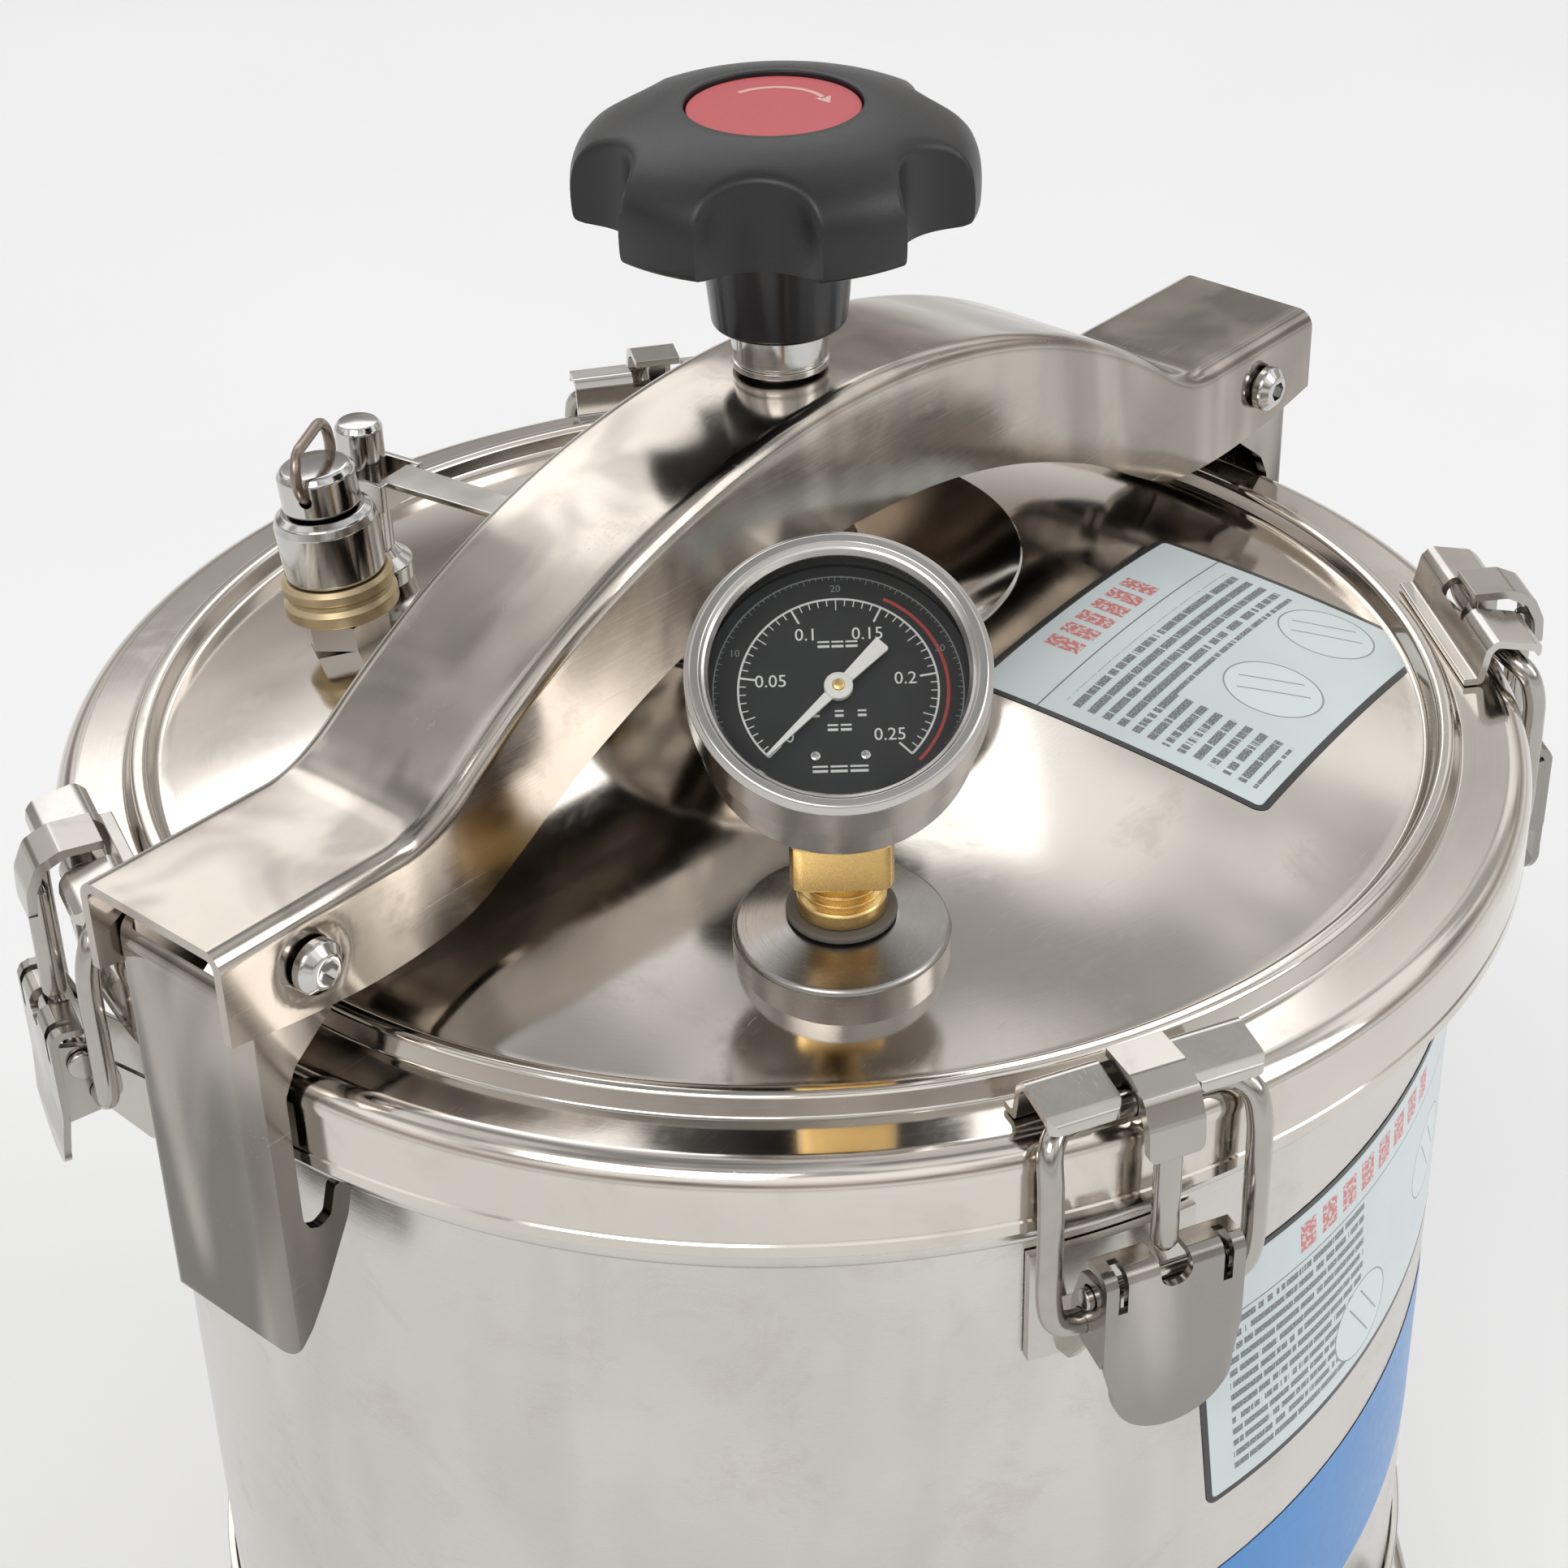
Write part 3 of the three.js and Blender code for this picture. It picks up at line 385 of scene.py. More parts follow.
class Nodes:
    """Short calls that add nodes to the tree of a material or a world."""

    def __init__(self, tree):
        self.tree = tree
        self.coords = self.add("ShaderNodeTexCoord").outputs

    def put(self, socket, value):
        if isinstance(value, bpy.types.NodeSocket):
            self.tree.links.new(value, socket)
        else:
            socket.default_value = (*value, 1.0) if socket.type == "RGBA" else value

    def add(self, kind, inputs=None, **settings):
        node = self.tree.nodes.new(kind)
        for key, value in settings.items():
            setattr(node, key, value)
        for key, value in (inputs or {}).items():
            self.put(node.inputs[key], value)
        return node

    def math(self, operation, a, b=0.0):
        return self.add("ShaderNodeMath", {0: a, 1: b}, operation=operation).outputs[0]

    def times(self, a, *others):
        for b in others:
            a = self.math("MULTIPLY", a, b)
        return a

    def plus(self, a, *others):
        for b in others:
            a = self.math("ADD", a, b)
        return a

    def minus(self, a, b):
        return self.math("SUBTRACT", a, b)

    def absolute(self, a):
        return self.math("ABSOLUTE", a)

    def length(self, x, y):
        return self.math("SQRT", self.plus(self.times(x, x), self.times(y, y)))

    def noise(self, vector, scale=1.0, detail=2.0, roughness=0.5, distortion=0.0):
        inputs = {"Vector": vector, "Scale": scale, "Detail": detail, "Roughness": roughness,
                  "Distortion": distortion}
        return self.add("ShaderNodeTexNoise", inputs).outputs["Fac"]

    def ramp(self, value, low, high, a=0.0, b=1.0):
        inputs = {"Value": value, "From Min": low, "From Max": high, "To Min": a, "To Max": b}
        return self.add("ShaderNodeMapRange", inputs, interpolation_type="SMOOTHSTEP").outputs["Result"]

    def window(self, value, low, high, soft=0.15):
        """One between low and high, and nothing outside."""
        return self.times(self.ramp(value, low - soft, low), self.ramp(value, high + soft, high))

    def split(self, vector):
        return self.add("ShaderNodeSeparateXYZ", {0: vector}).outputs

    def combine(self, x, y, z):
        return self.add("ShaderNodeCombineXYZ", {0: x, 1: y, 2: z}).outputs[0]

    def scaled(self, vector, factor):
        return self.add("ShaderNodeVectorMath", {0: vector, "Scale": factor}, operation="SCALE").outputs[0]

    def mix(self, factor, a, b):
        return self.add("ShaderNodeMix", {0: factor, 6: a, 7: b}, data_type="RGBA").outputs[2]


class Shader(Nodes):
    """A material with one principled shader; self.point is the place on the piece in millimetres."""

    def __init__(self, name):
        self.material = bpy.data.materials.new(name)
        self.material.use_nodes = True
        super().__init__(self.material.node_tree)
        self.point = self.scaled(self.coords["Object"], 1 / MM)

    def stretch(self, factors, turn=(0, 0, 0)):
        inputs = {"Vector": self.point, "Rotation": [math.radians(a) for a in turn], "Scale": factors}
        return self.add("ShaderNodeMapping", inputs).outputs[0]

    def bump(self, height, distance, strength=1.0, normal=None):
        inputs = {"Height": height, "Distance": distance * MM, "Strength": strength}
        if normal is not None:
            inputs["Normal"] = normal
        return self.add("ShaderNodeBump", inputs).outputs["Normal"]

    def surface(self, **values):
        shader = self.tree.nodes["Principled BSDF"]
        for key, value in values.items():
            self.put(shader.inputs[key.replace("_", " ")], value)
        return self.material


def scratch_mask(s, turn, density, width):
    """Thin, broken scratches that run one way."""
    lines = s.noise(s.stretch((width * 0.006, width, width * 0.6), turn), 1.0, 1.0, 0.4)
    breaks = s.noise(s.stretch((0.03, 0.05, 0.05), turn))
    return s.times(s.ramp(lines, density, density + 0.05), s.ramp(breaks, 0.54, 0.7))


def round_about_axis(s, along=0.02, fine=6.0):
    """Coordinates that run round Z slowly and change quickly with radius and height, for turned brushing."""
    x, y, z = s.split(s.point)
    radius = s.length(x, y)
    angle = s.math("ARCTAN2", y, x)
    return s.combine(s.times(angle, s.times(radius, along)), s.times(radius, fine), s.times(z, fine))


def steel(name, color, rough, wave=0.0, scratch=1.0, brush=0.0, turned_brush=False, smudge=0.08, aniso=0.0,
          wave_size=0.02, painted_reflection_bands=0.0):
    """Polished sheet or wire: clouds, stains and scratches, brushing, slow waves, and dark vertical bands of
    painted reflection.
    """
    s = Shader(name)
    cloud = s.noise(s.point, 0.012, 3.0, 0.6)
    stain = s.ramp(s.noise(s.point, 0.035, 5.0, 0.7, 0.6), 0.5, 0.72)
    fine = s.noise(s.point, 0.5, 3.0, 0.65)
    marks = scratch_mask(s, (0, 0, 25), 0.69, 3.2)
    for turn in ((10, 0, 100), (0, 20, 160)):
        marks = s.math("MAXIMUM", marks, scratch_mask(s, turn, 0.70, 2.8))
    base = s.mix(s.ramp(cloud, 0.3, 0.75), shade(color, 1.04), shade(color, 0.93))
    stain_color = shade((color[0], color[1] * 0.97, color[2] * 0.92), 0.8)
    base = s.mix(s.times(stain, 0.35), base, stain_color)
    # Painted reflection: soft vertical dark streaks in the base colour stand in for dark things mirrored in
    # the steel.
    if painted_reflection_bands:
        painted_reflection_streaks = s.noise(s.stretch((0.034, 0.034, 0.009)), 1.0, 2.0, 0.5, 0.6)
        base = s.mix(s.times(s.ramp(painted_reflection_streaks, 0.44, 0.64), painted_reflection_bands), base, shade(color, 0.22))
    base = s.mix(s.times(marks, 0.12 * scratch), base, (0.72, 0.71, 0.69))
    roughness = s.plus(rough, s.times(stain, smudge))
    roughness = s.plus(roughness, s.times(fine, smudge * 0.5), s.times(marks, 0.1 * scratch))
    height = s.times(marks, -0.12 * scratch)
    if brush:
        grain = s.noise(round_about_axis(s) if turned_brush else s.stretch((0.06, 5.0, 5.0)), 1.0, 3.0, 0.7)
        height = s.plus(height, s.times(grain, brush))
        roughness = s.plus(roughness, s.times(s.ramp(grain, 0.35, 0.75), 0.12 * min(1.0, brush)))
    waves = s.bump(s.noise(s.point, wave_size, 1.5, 0.4), 1.0, wave) if wave else None
    normal = s.bump(height, 0.02, 0.5, waves)
    return s.surface(Base_Color=base, Metallic=1.0, Roughness=roughness, Normal=normal, Anisotropic=aniso)


def plastic(name, color, rough, grain):
    s = Shader(name)
    speckle = s.noise(s.point, 2.2, 4.0, 0.65)
    dust = s.ramp(s.noise(s.point, 0.12, 5.0, 0.7), 0.58, 0.75)
    base = s.mix(s.times(dust, 0.12), color, tuple(c + 0.05 for c in color))
    roughness = s.plus(rough, s.times(s.minus(speckle, 0.5), 0.25), s.times(dust, 0.08))
    return s.surface(Base_Color=base, Roughness=roughness, Normal=s.bump(speckle, 0.05 * grain, 0.7))


def painted(name, color, rough=0.5):
    s = Shader(name)
    grain = s.noise(s.point, 3.0, 3.0, 0.6)
    base = s.mix(s.ramp(grain, 0.3, 0.8), color, shade(color, 0.9))
    roughness = s.plus(rough, s.times(grain, 0.1))
    return s.surface(Base_Color=base, Roughness=roughness, Normal=s.bump(grain, 0.001))


def glass(name):
    s = Shader(name)
    dirt = s.ramp(s.noise(s.point, 0.15, 4.0, 0.7), 0.45, 0.8)
    return s.surface(Base_Color=(1.0, 1.0, 1.0), Roughness=s.times(dirt, 0.03), Transmission_Weight=1.0,
                     IOR=1.25, Normal=s.bump(dirt, 0.001))


POLISHED = steel("polished_steel", (0.58, 0.545, 0.505), 0.07, wave=0.35, wave_size=0.018)
LID_STEEL = steel("lid_steel", (0.66, 0.615, 0.56), 0.075, wave=0.45, wave_size=0.014, brush=0.25,
                  turned_brush=True)
# The bands values paint dark reflection streaks into the colour of the pot, beam, arm and lever steel.
POT_STEEL = steel("pot_steel", (0.64, 0.61, 0.575), 0.17, wave=0.5, wave_size=0.01, brush=0.9,
                  turned_brush=True, scratch=0.5, aniso=0.35, painted_reflection_bands=0.07)
BEAM_STEEL = steel("beam_steel", (0.50, 0.455, 0.405), 0.09, wave=0.6, wave_size=0.03, brush=0.4, scratch=1.6,
                   painted_reflection_bands=0.45)
ARM_STEEL = steel("arm_steel", (0.42, 0.385, 0.35), 0.1, wave=0.7, wave_size=0.03, brush=0.3, scratch=1.8,
                  painted_reflection_bands=0.75)
WIRE_STEEL = steel("wire_steel", (0.44, 0.415, 0.385), 0.13, scratch=0.8, smudge=0.12)
LATCH_STEEL = steel("latch_steel", (0.56, 0.535, 0.50), 0.16, wave=0.4, wave_size=0.05, brush=0.5,
                    scratch=1.2)
LEVER_STEEL = steel("lever_steel", (0.50, 0.47, 0.435), 0.12, wave=0.5, wave_size=0.05, brush=0.4,
                    scratch=1.2, painted_reflection_bands=0.45)
FOOT_STEEL = steel("foot_steel", (0.36, 0.34, 0.32), 0.2, brush=0.6, turned_brush=True, scratch=0.8)
CHROME = steel("chrome", (0.58, 0.57, 0.555), 0.08, brush=0.3, turned_brush=True, scratch=0.5)
GAUGE_STEEL = steel("gauge_steel", (0.55, 0.53, 0.51), 0.13, brush=0.7, turned_brush=True, scratch=0.5)
BRONZE_WIRE = steel("bronze_wire", (0.33, 0.27, 0.225), 0.25, scratch=0.6, smudge=0.2)
BRASS = steel("brass", (0.76, 0.53, 0.22), 0.2, brush=0.8, smudge=0.2)
DULL_BRASS = steel("dull_brass", (0.56, 0.45, 0.28), 0.3, brush=0.6, turned_brush=True, smudge=0.25)
BLACK = plastic("black_plastic", (0.011, 0.0113, 0.0125), 0.38, 1.0)
BLACK_HUB = plastic("black_hub", (0.010, 0.010, 0.012), 0.2, 0.15)
RED = plastic("red_cap", (0.50, 0.075, 0.085), 0.40, 0.4)
RUBBER = plastic("grey_rubber", (0.30, 0.28, 0.25), 0.75, 1.2)
SEAL_RUBBER = plastic("seal_rubber", (0.10, 0.09, 0.075), 0.6, 0.8)
PALE_MARK = painted("pale_mark", (0.70, 0.42, 0.38))
DIAL_BLACK = painted("dial_black", (0.011, 0.0125, 0.0125), 0.6)
DIAL_WHITE = painted("dial_white", (0.75, 0.76, 0.73))
DIAL_GREY = painted("dial_grey", (0.25, 0.28, 0.25))
DIAL_RED = painted("dial_red", (0.45, 0.05, 0.04))
NEEDLE_WHITE = painted("needle_white", (0.82, 0.82, 0.78), 0.45)
GLASS = glass("gauge_glass")


# ------------------------------------------------------------------ camera, floor and light

def make_camera():
    """The camera stands at a turn about the pot's axis, looks down by pitch and is rolled a little."""
    distance, height, turn = 596.8, 366.8, -47.97
    pitch, yaw, roll = math.radians(32.89), math.radians(-0.19), math.radians(-1.70)
    forward = Vector((math.sin(yaw) * math.cos(pitch), math.cos(yaw) * math.cos(pitch), -math.sin(pitch)))
    right = Vector((math.cos(yaw), -math.sin(yaw), 0))
    above = right.cross(forward)
    across = math.cos(roll) * right + math.sin(roll) * above
    upward = -math.sin(roll) * right + math.cos(roll) * above
    basis = Matrix((across, upward, -forward)).transposed().to_4x4()
    data = bpy.data.cameras.new("camera")
    data.sensor_width = 36.0
    data.lens = 70.528
    data.clip_start, data.clip_end = 0.01, 50.0
    camera = linked(data, "camera")
    place = Matrix.Translation(Vector((0, -distance, height + RIM)) * MM) @ basis
    camera.matrix_world = rot("Z", turn) @ place
    scene.camera = camera


def make_floor():
    s = Shader("floor")
    tone = s.noise(s.point, 0.004)
    material = s.surface(Base_Color=s.mix(tone, (0.90, 0.905, 0.91), (0.87, 0.875, 0.88)), Roughness=0.9)
    floor = turned("floor", [(0, 0), (300, 0), (1500, 0), (7000, 0)], material, None, segments=64)


def area_light(name, place, size, power, color=(1, 1, 1)):
    """A soft light at a place in metres, aimed at the middle of the pot."""
    data = bpy.data.lights.new(name, "AREA")
    data.shape = "RECTANGLE"
    data.size, data.size_y = size
    data.energy = power
    data.color = color
    lamp = linked(data, name)
    lamp.location = place
    lamp.rotation_mode = "QUATERNION"
    lamp.rotation_quaternion = (Vector((0, 0, 0.35)) - Vector(place)).to_track_quat("-Z", "Y")


def make_world():
    """A pale room with a darker band over the horizon and soft patches above it, for the steel to mirror."""
    scene.world = bpy.data.worlds.new("studio")
    scene.world.use_nodes = True
    n = Nodes(scene.world.node_tree)
    height = n.split(n.coords["Generated"])["Z"]
    tones = n.add("ShaderNodeValToRGB", {0: height})
    stops = [(0.0, (0.90, 0.90, 0.90)), (0.09, (0.62, 0.60, 0.58)), (0.19, (0.34, 0.31, 0.285)),
             (0.32, (0.66, 0.63, 0.60)), (0.48, (1.02, 1.01, 1.0)), (0.72, (1.05, 1.05, 1.05)),
             (1.0, (0.55, 0.55, 0.55))]
    elements = tones.color_ramp.elements
    for position, color in stops[1:-1]:
        elements.new(position)
    for element, (position, color) in zip(elements, stops):
        element.position = position
        element.color = (*color, 1)
    patches = n.ramp(n.noise(n.coords["Generated"], 2.6, 3.0), 0.41, 0.54, 0.46, 1.16)
    level = n.ramp(height, 0.10, 0.26, 1.0, patches)
    background = n.tree.nodes["Background"]
    n.put(background.inputs["Color"], n.scaled(tones.outputs[0], level))
    background.inputs["Strength"].default_value = 1.0


scene.view_settings.view_transform = "Standard"
make_camera()
make_floor()
make_world()
area_light("key", (-1.9, -0.6, 2.4), (1.4, 1.0), 21, (1.0, 0.99, 0.97))
area_light("fill", (0.9, -1.9, 1.7), (0.8, 1.6), 12, (0.97, 0.98, 1.0))
area_light("back", (1.2, 1.6, 2.2), (2.0, 1.2), 10)


# ------------------------------------------------------------------ pot and lid

def make_lid():
    outer = [(r, dome(r)) for r in np.linspace(0, 139, 40)]
    outer += outline((140, dome(140)), (142.6, 3.0, 1.6), (144.4, 7.5, 1.7), (147.6, 7.5, 1.7),
                     (149.6, 3.0, 1.8), (151, 3.0))
    outer += outline((152, 3.0), (LID_RADIUS, 3.0, 6), (LID_RADIUS, -13), steps=12)[1:]
    groove = [(0, -13.3), (0.35, -13.7), (0.35, -14.1), (0, -14.5), (0, -17.0), (0.6, -17.6), (SHEET, -17.4)]
    outer += [(LID_RADIUS - depth, z) for depth, z in groove]
    inner = [(LID_RADIUS - SHEET, -3), (160, 1.4), (149.9, 1.4), (147.6, 5.9), (144.6, 5.9), (142.9, 1.2)]
    inner += [(r, dome(r) - SHEET) for r in (139, 100, 50, 0)]
    turned("lid", up(outer + inner), LID_STEEL, "pot", "lid_shell", segments=224, smooth=40)


def make_pot():
    low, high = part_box("pot_shell")
    floor, flange, wide = low.z / MM, high.z / MM, high.x / MM
    inside = POT_WALL - SHEET
    wall = outline((0, floor), (POT_WALL, floor, 12), (POT_WALL, flange - 18, 1.2), (wide, flange - 18, 4),
                   (wide, flange, 4), (inside, flange, 0.5), (inside, floor + SHEET, 12), (0, floor + SHEET),
                   steps=8)
    turned("pot_body", wall, POT_STEEL, "pot", "pot_shell", segments=224, smooth=40)
    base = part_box("base_plate")[1]
    radius, top = base.x / MM, base.z / MM
    profile = [(0, 0)]
    for r in np.arange(12, 126, 6.0):
        profile += [(r, 0.0), (r + 1.0, 0.35), (r + 2.0, 0.35), (r + 3.0, 0.0)]
    profile += outline((128, 0), (radius, 0, 1.5), (radius, top, 0.6), (0, top), steps=4)[1:]
    turned("base_disc", profile, POT_STEEL, "pot", "base_plate")
    low, high = (v.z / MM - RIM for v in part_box("lid_gasket"))
    ring = outline((151.8, low), (159.3, low), (160.4, low + 3), (158, high), (152.5, high), (150.6, low + 5),
                   radius=0.8, steps=4)
    turned("gasket", up(ring), RUBBER, "pot", "lid_gasket", closed=True)


# ------------------------------------------------------------------ printed panels

PANEL_PITCH = 3.6
INK = (0.035, 0.04, 0.045)
TITLE_RED = (0.56, 0.06, 0.045)


def panel(name, material, half, surface, columns, rows):
    """A thin printed panel that lies on a surface; surface(u, v) gives the point for panel coordinates."""
    spots = [(-half[0] + 2 * half[0] * i / columns, -half[1] + 2 * half[1] * j / rows)
             for j in range(rows + 1) for i in range(columns + 1)]
    wide = columns + 1
    faces = [[j * wide + i, j * wide + i + 1, (j + 1) * wide + i + 1, (j + 1) * wide + i]
             for j in range(rows) for i in range(columns)]
    mesh = bpy.data.meshes.new(name)
    mesh.from_pydata([tuple(c * MM for c in surface(u, v)) for u, v in spots], [], faces)
    layer = mesh.uv_layers.new(name="panel")
    for loop in mesh.loops:
        layer.data[loop.index].uv = spots[loop.vertex_index]
    finish_piece(name, mesh, material, "pot", weighted=False)


def text_bars(s, u, v, half, title_at, text_to):
    """Rows of broken bars where print would stand: long ones above, shorter ones below."""
    row_at = s.math("DIVIDE", s.plus(v, 90.0), PANEL_PITCH)
    row = s.window(s.math("FRACT", row_at), 0.24, 0.72, 0.05)
    words = s.noise(s.combine(s.times(u, 0.75), s.times(s.math("FLOOR", row_at), 7.3), 0.0))
    strokes = s.noise(s.combine(s.times(u, 2.4), s.times(v, 2.4), 3.0), 1.0, 1.0)
    bars = s.times(row, s.ramp(words, 0.38, 0.41), s.ramp(strokes, 0.32, 0.5, 0.45, 1.0))
    margin, split = half[0] * 0.86, half[1] * text_to[1]
    long = s.times(s.window(u, -margin, margin), s.window(v, split, half[1] * title_at * 0.78))
    short = s.times(s.window(u, -margin, half[0] * text_to[0] - 12), s.window(v, -half[1] * 0.86, split))
    return s.times(bars, s.math("MAXIMUM", long, short))


def draw_ring(s, color, paper, dx, dy):
    """A ring with a plain slanted pair of lines in it, where a sketch would stand."""
    r = s.length(dx, dy)
    color = s.mix(s.ramp(r, 11.4, 11.2), color, shade(paper, 1.04))
    color = s.mix(s.times(s.window(r, 11.0, 11.25), 0.75), color, (0.08, 0.09, 0.1))
    slant = s.absolute(s.minus(s.plus(dx, s.times(dy, 0.6)), 1.5))
    lines = s.times(s.ramp(s.absolute(s.minus(slant, 3.0)), 0.35, 0.2), s.ramp(r, 8.5, 8.3))
    return s.mix(s.times(lines, 0.7), color, (0.1, 0.11, 0.12))


def title_blocks(s, u, v, half, title_at):
    """A row of broken blocks where a title would stand."""
    title = s.window(v, half[1] * (title_at + 0.08), half[1] * 0.86)
    blocks = s.window(s.math("FRACT", s.math("DIVIDE", s.plus(u, 90.0), 7.4)), 0.2, 0.86, 0.03)
    holes = s.noise(s.combine(s.times(u, 0.9), s.times(v, 0.9), 0.0), 1.0, 1.0)
    title = s.times(title, blocks, s.window(u, -half[0] * 0.5, half[0] * 0.45))
    return s.times(title, s.ramp(holes, 0.42, 0.5, 0.15, 0.8))


def panel_material(name, half, corner, paper, border, title_at=0.55, text_to=None, rings=()):
    """A generic printed panel: pale ground, rounded border, plain marks where print would stand.

    title_at, text_to and rings are shares of the half sizes; without text_to the panel is blank."""
    s = Shader(name)
    u, v, _ = s.split(s.coords["UV"])
    qx = s.minus(s.absolute(u), half[0] - corner)
    qy = s.minus(s.absolute(v), half[1] - corner)
    outside = s.length(s.math("MAXIMUM", qx, 0.0), s.math("MAXIMUM", qy, 0.0))
    inside = s.math("MINIMUM", s.math("MAXIMUM", qx, qy), 0.0)
    edge = s.minus(s.plus(outside, inside), corner)
    color = s.mix(s.ramp(s.noise(s.point, 0.03, 3.0), 0.35, 0.7), paper, shade(paper, 0.94))
    if text_to:
        color = s.mix(s.times(text_bars(s, u, v, half, title_at, text_to), 0.85), color, INK)
        for share_u, share_v in rings:
            dx, dy = s.minus(u, half[0] * share_u), s.minus(v, half[1] * share_v)
            color = draw_ring(s, color, paper, dx, dy)
        color = s.mix(title_blocks(s, u, v, half, title_at), color, TITLE_RED)
        rule = s.window(v, half[1] * title_at - 0.25, half[1] * title_at, 0.08)
        color = s.mix(s.times(rule, 0.9), color, (0.05, 0.055, 0.06))
    color = s.mix(s.ramp(edge, -1.75, -1.6), color, border)
    wear = s.noise(s.point, 0.4, 3.0)
    return s.surface(Base_Color=color, Roughness=s.plus(0.3, s.times(wear, 0.15)), Coat_Weight=0.25,
                     Alpha=s.ramp(edge, 0.05, -0.05))


def make_lid_panel():
    left, top, right, bottom = (polar(*place) for place in ((-70.2, 49.1), (-14.1, 118.5), (-43.7, 143.0),
                                                            (-83.0, 112.6)))
    middle = (left + top + right + bottom) / 4
    long_side, short_side = top - left + right - bottom, left - bottom + top - right
    across = long_side.normalized()
    upward = Vector((-across.y, across.x, 0))
    half = (abs(long_side.dot(across)) / 4, abs(short_side.dot(upward)) / 3.7)

    def on_lid(u, v):
        p = middle + across * u + upward * v
        return (p.x, p.y, RIM + dome(math.hypot(p.x, p.y)) + 0.12)

    material = panel_material("lid_panel_print", half, 3.0, (0.60, 0.67, 0.68), (0.012, 0.013, 0.015),
                              text_to=(-0.2, -0.06), rings=((0.66, -0.42), (-0.06, -0.48)))
    panel("lid_panel", material, half, on_lid, 40, 40)


def on_wall(angle, level, tilt):
    c, s = math.cos(math.radians(tilt)), math.sin(math.radians(tilt))
    radius = POT_WALL + 0.15

    def surface(u, v):
        t = math.radians(angle) + (u * c - v * s) / POT_WALL
        return (radius * math.cos(t), radius * math.sin(t), RIM + level + u * s + v * c)
    return surface


def make_wall_panels():
    half = (60.0, 34.0)
    material = panel_material("wall_panel_print", half, 3.0, (0.60, 0.67, 0.69), (0.012, 0.013, 0.015),
                              text_to=(0.1, 0.55), rings=((0.55, -0.1), (-0.1, -0.55)))
    panel("wall_panel", material, half, on_wall(-83.6, -84.0, 7.0), 60, 24)
    half = (60.0, 24.0)
    blue = panel_material("wall_band_print", half, 1.5, (0.035, 0.22, 0.56), (0.035, 0.22, 0.56))
    panel("wall_band", blue, half, on_wall(-83.6, -163.0, 9.0), 60, 16)


# ------------------------------------------------------------------ clamp beam and arms

def beam_lines(x):
    """Heights of the beam's top and of its lower edges at x."""
    a = np.abs(x)
    arch = ARCH_TOP - ARCH_RADIUS + np.sqrt(ARCH_RADIUS ** 2 - np.minimum(a, 150) ** 2)
    h = np.clip(0.5 + 0.5 * (arch - BEAM_END_TOP) / 8.0, 0, 1)
    top = BEAM_END_TOP * (1 - h) + arch * h + 8.0 * h * (1 - h)
    under = [(r, ARCH_UNDERSIDE - UNDERSIDE_RADIUS + math.sqrt(UNDERSIDE_RADIUS ** 2 - r * r))
             for r in (0, 28, 56, 84, 104)]
    ends = [(116, 19.0), (128, 16.6), (144, 16.2), (162, 18), (BEAM_HALF_LENGTH, 21)]
    lower_x, lower_z = zip(*smooth_line(under + ends, 8))
    return top, np.interp(a, lower_x, lower_z)


def dimpled(x, y, z):
    """The beam's sides are pressed in by half a millimetre where the bolts sit."""
    away = math.hypot(abs(x) - PIVOT[0], z - PIVOT[1])
    return math.copysign(abs(y) - 0.5 * (1 - float(smooth_step(away, 6.4, 9.6))), y)


def beam_ring(x, top, low):
    """Points round the folded sheet at x: along its outside, then back along its inside."""
    loops = []
    quarter = np.linspace(0, math.pi / 2, 8)[1:]
    for inset, r in ((0.0, BEAM_CORNER), (BEAM_SHEET, BEAM_CORNER - BEAM_SHEET)):
        h, t = BEAM_HALF_WIDTH - inset, top - inset
        left = [(-h, low + (t - r - low) * (k / 14)) for k in range(15)]
        left += [(-h + r - r * math.cos(a), t - r + r * math.sin(a)) for a in quarter]
        flat = [(-h + r + 2 * (h - r) * (k / 14), t) for k in range(1, 14)]
        points = left + flat + [(-y, z) for y, z in reversed(left)]
        loops.append([(dimpled(x, y, z) if abs(y) > h - 0.01 else y, z) for y, z in points])
    return loops[0] + loops[1][::-1]


def make_beam():
    stations = np.linspace(-BEAM_HALF_LENGTH, BEAM_HALF_LENGTH, 241)
    verts = []
    for x, top, low in zip(stations, *beam_lines(stations)):
        ring = beam_ring(x, top, low)
        verts += [(x, y, z + RIM) for y, z in ring]
    count = len(ring)
    last = len(verts) - count
    faces = [[a + k, a + (k + 1) % count, a + count + (k + 1) % count, a + count + k]
             for a in range(0, last, count) for k in range(count)]
    for end in (0, last):
        for k in range(count // 2 - 1):
            faces.append([end + k, end + k + 1, end + count - 2 - k, end + count - 1 - k])
    hole = spin(up([(0, 75), (7.9, 75), (7.9, 95), (0, 95)]), 48)
    mesh = boolean(mesh_from((verts, faces)), [hole])
    finish_piece("beam", mesh, BEAM_STEEL, "pot", "clamp_beam", smooth=40)


def arm_outline():
    """The arm from the side: a strap over the pivot that ends in a hook under the flange."""
    over_pivot = arc(8.6, range(60, 191, 10), PIVOT)
    return outline((ARM_FACE, -60, 4), (ARM_FACE, 27.5, 7), (164, 35, 3), *over_pivot, (150, 21, 3),
                   (153, 14, 4), (163.4, 6, 5), (166.6, 0, 4), (166.6, -30.5, 1.5), (165.2, -33.4, 1.6),
                   (162.6, -34.6, 1.6), (159.8, -33.4, 1.6), (158, -27.2, 0.8), (155, -26.9, 0.8),
                   (154, -30, 1.5), (155.5, -36, 8), (163.5, -51, 6), (168, -58, 4), (172, -62, 3), steps=5)


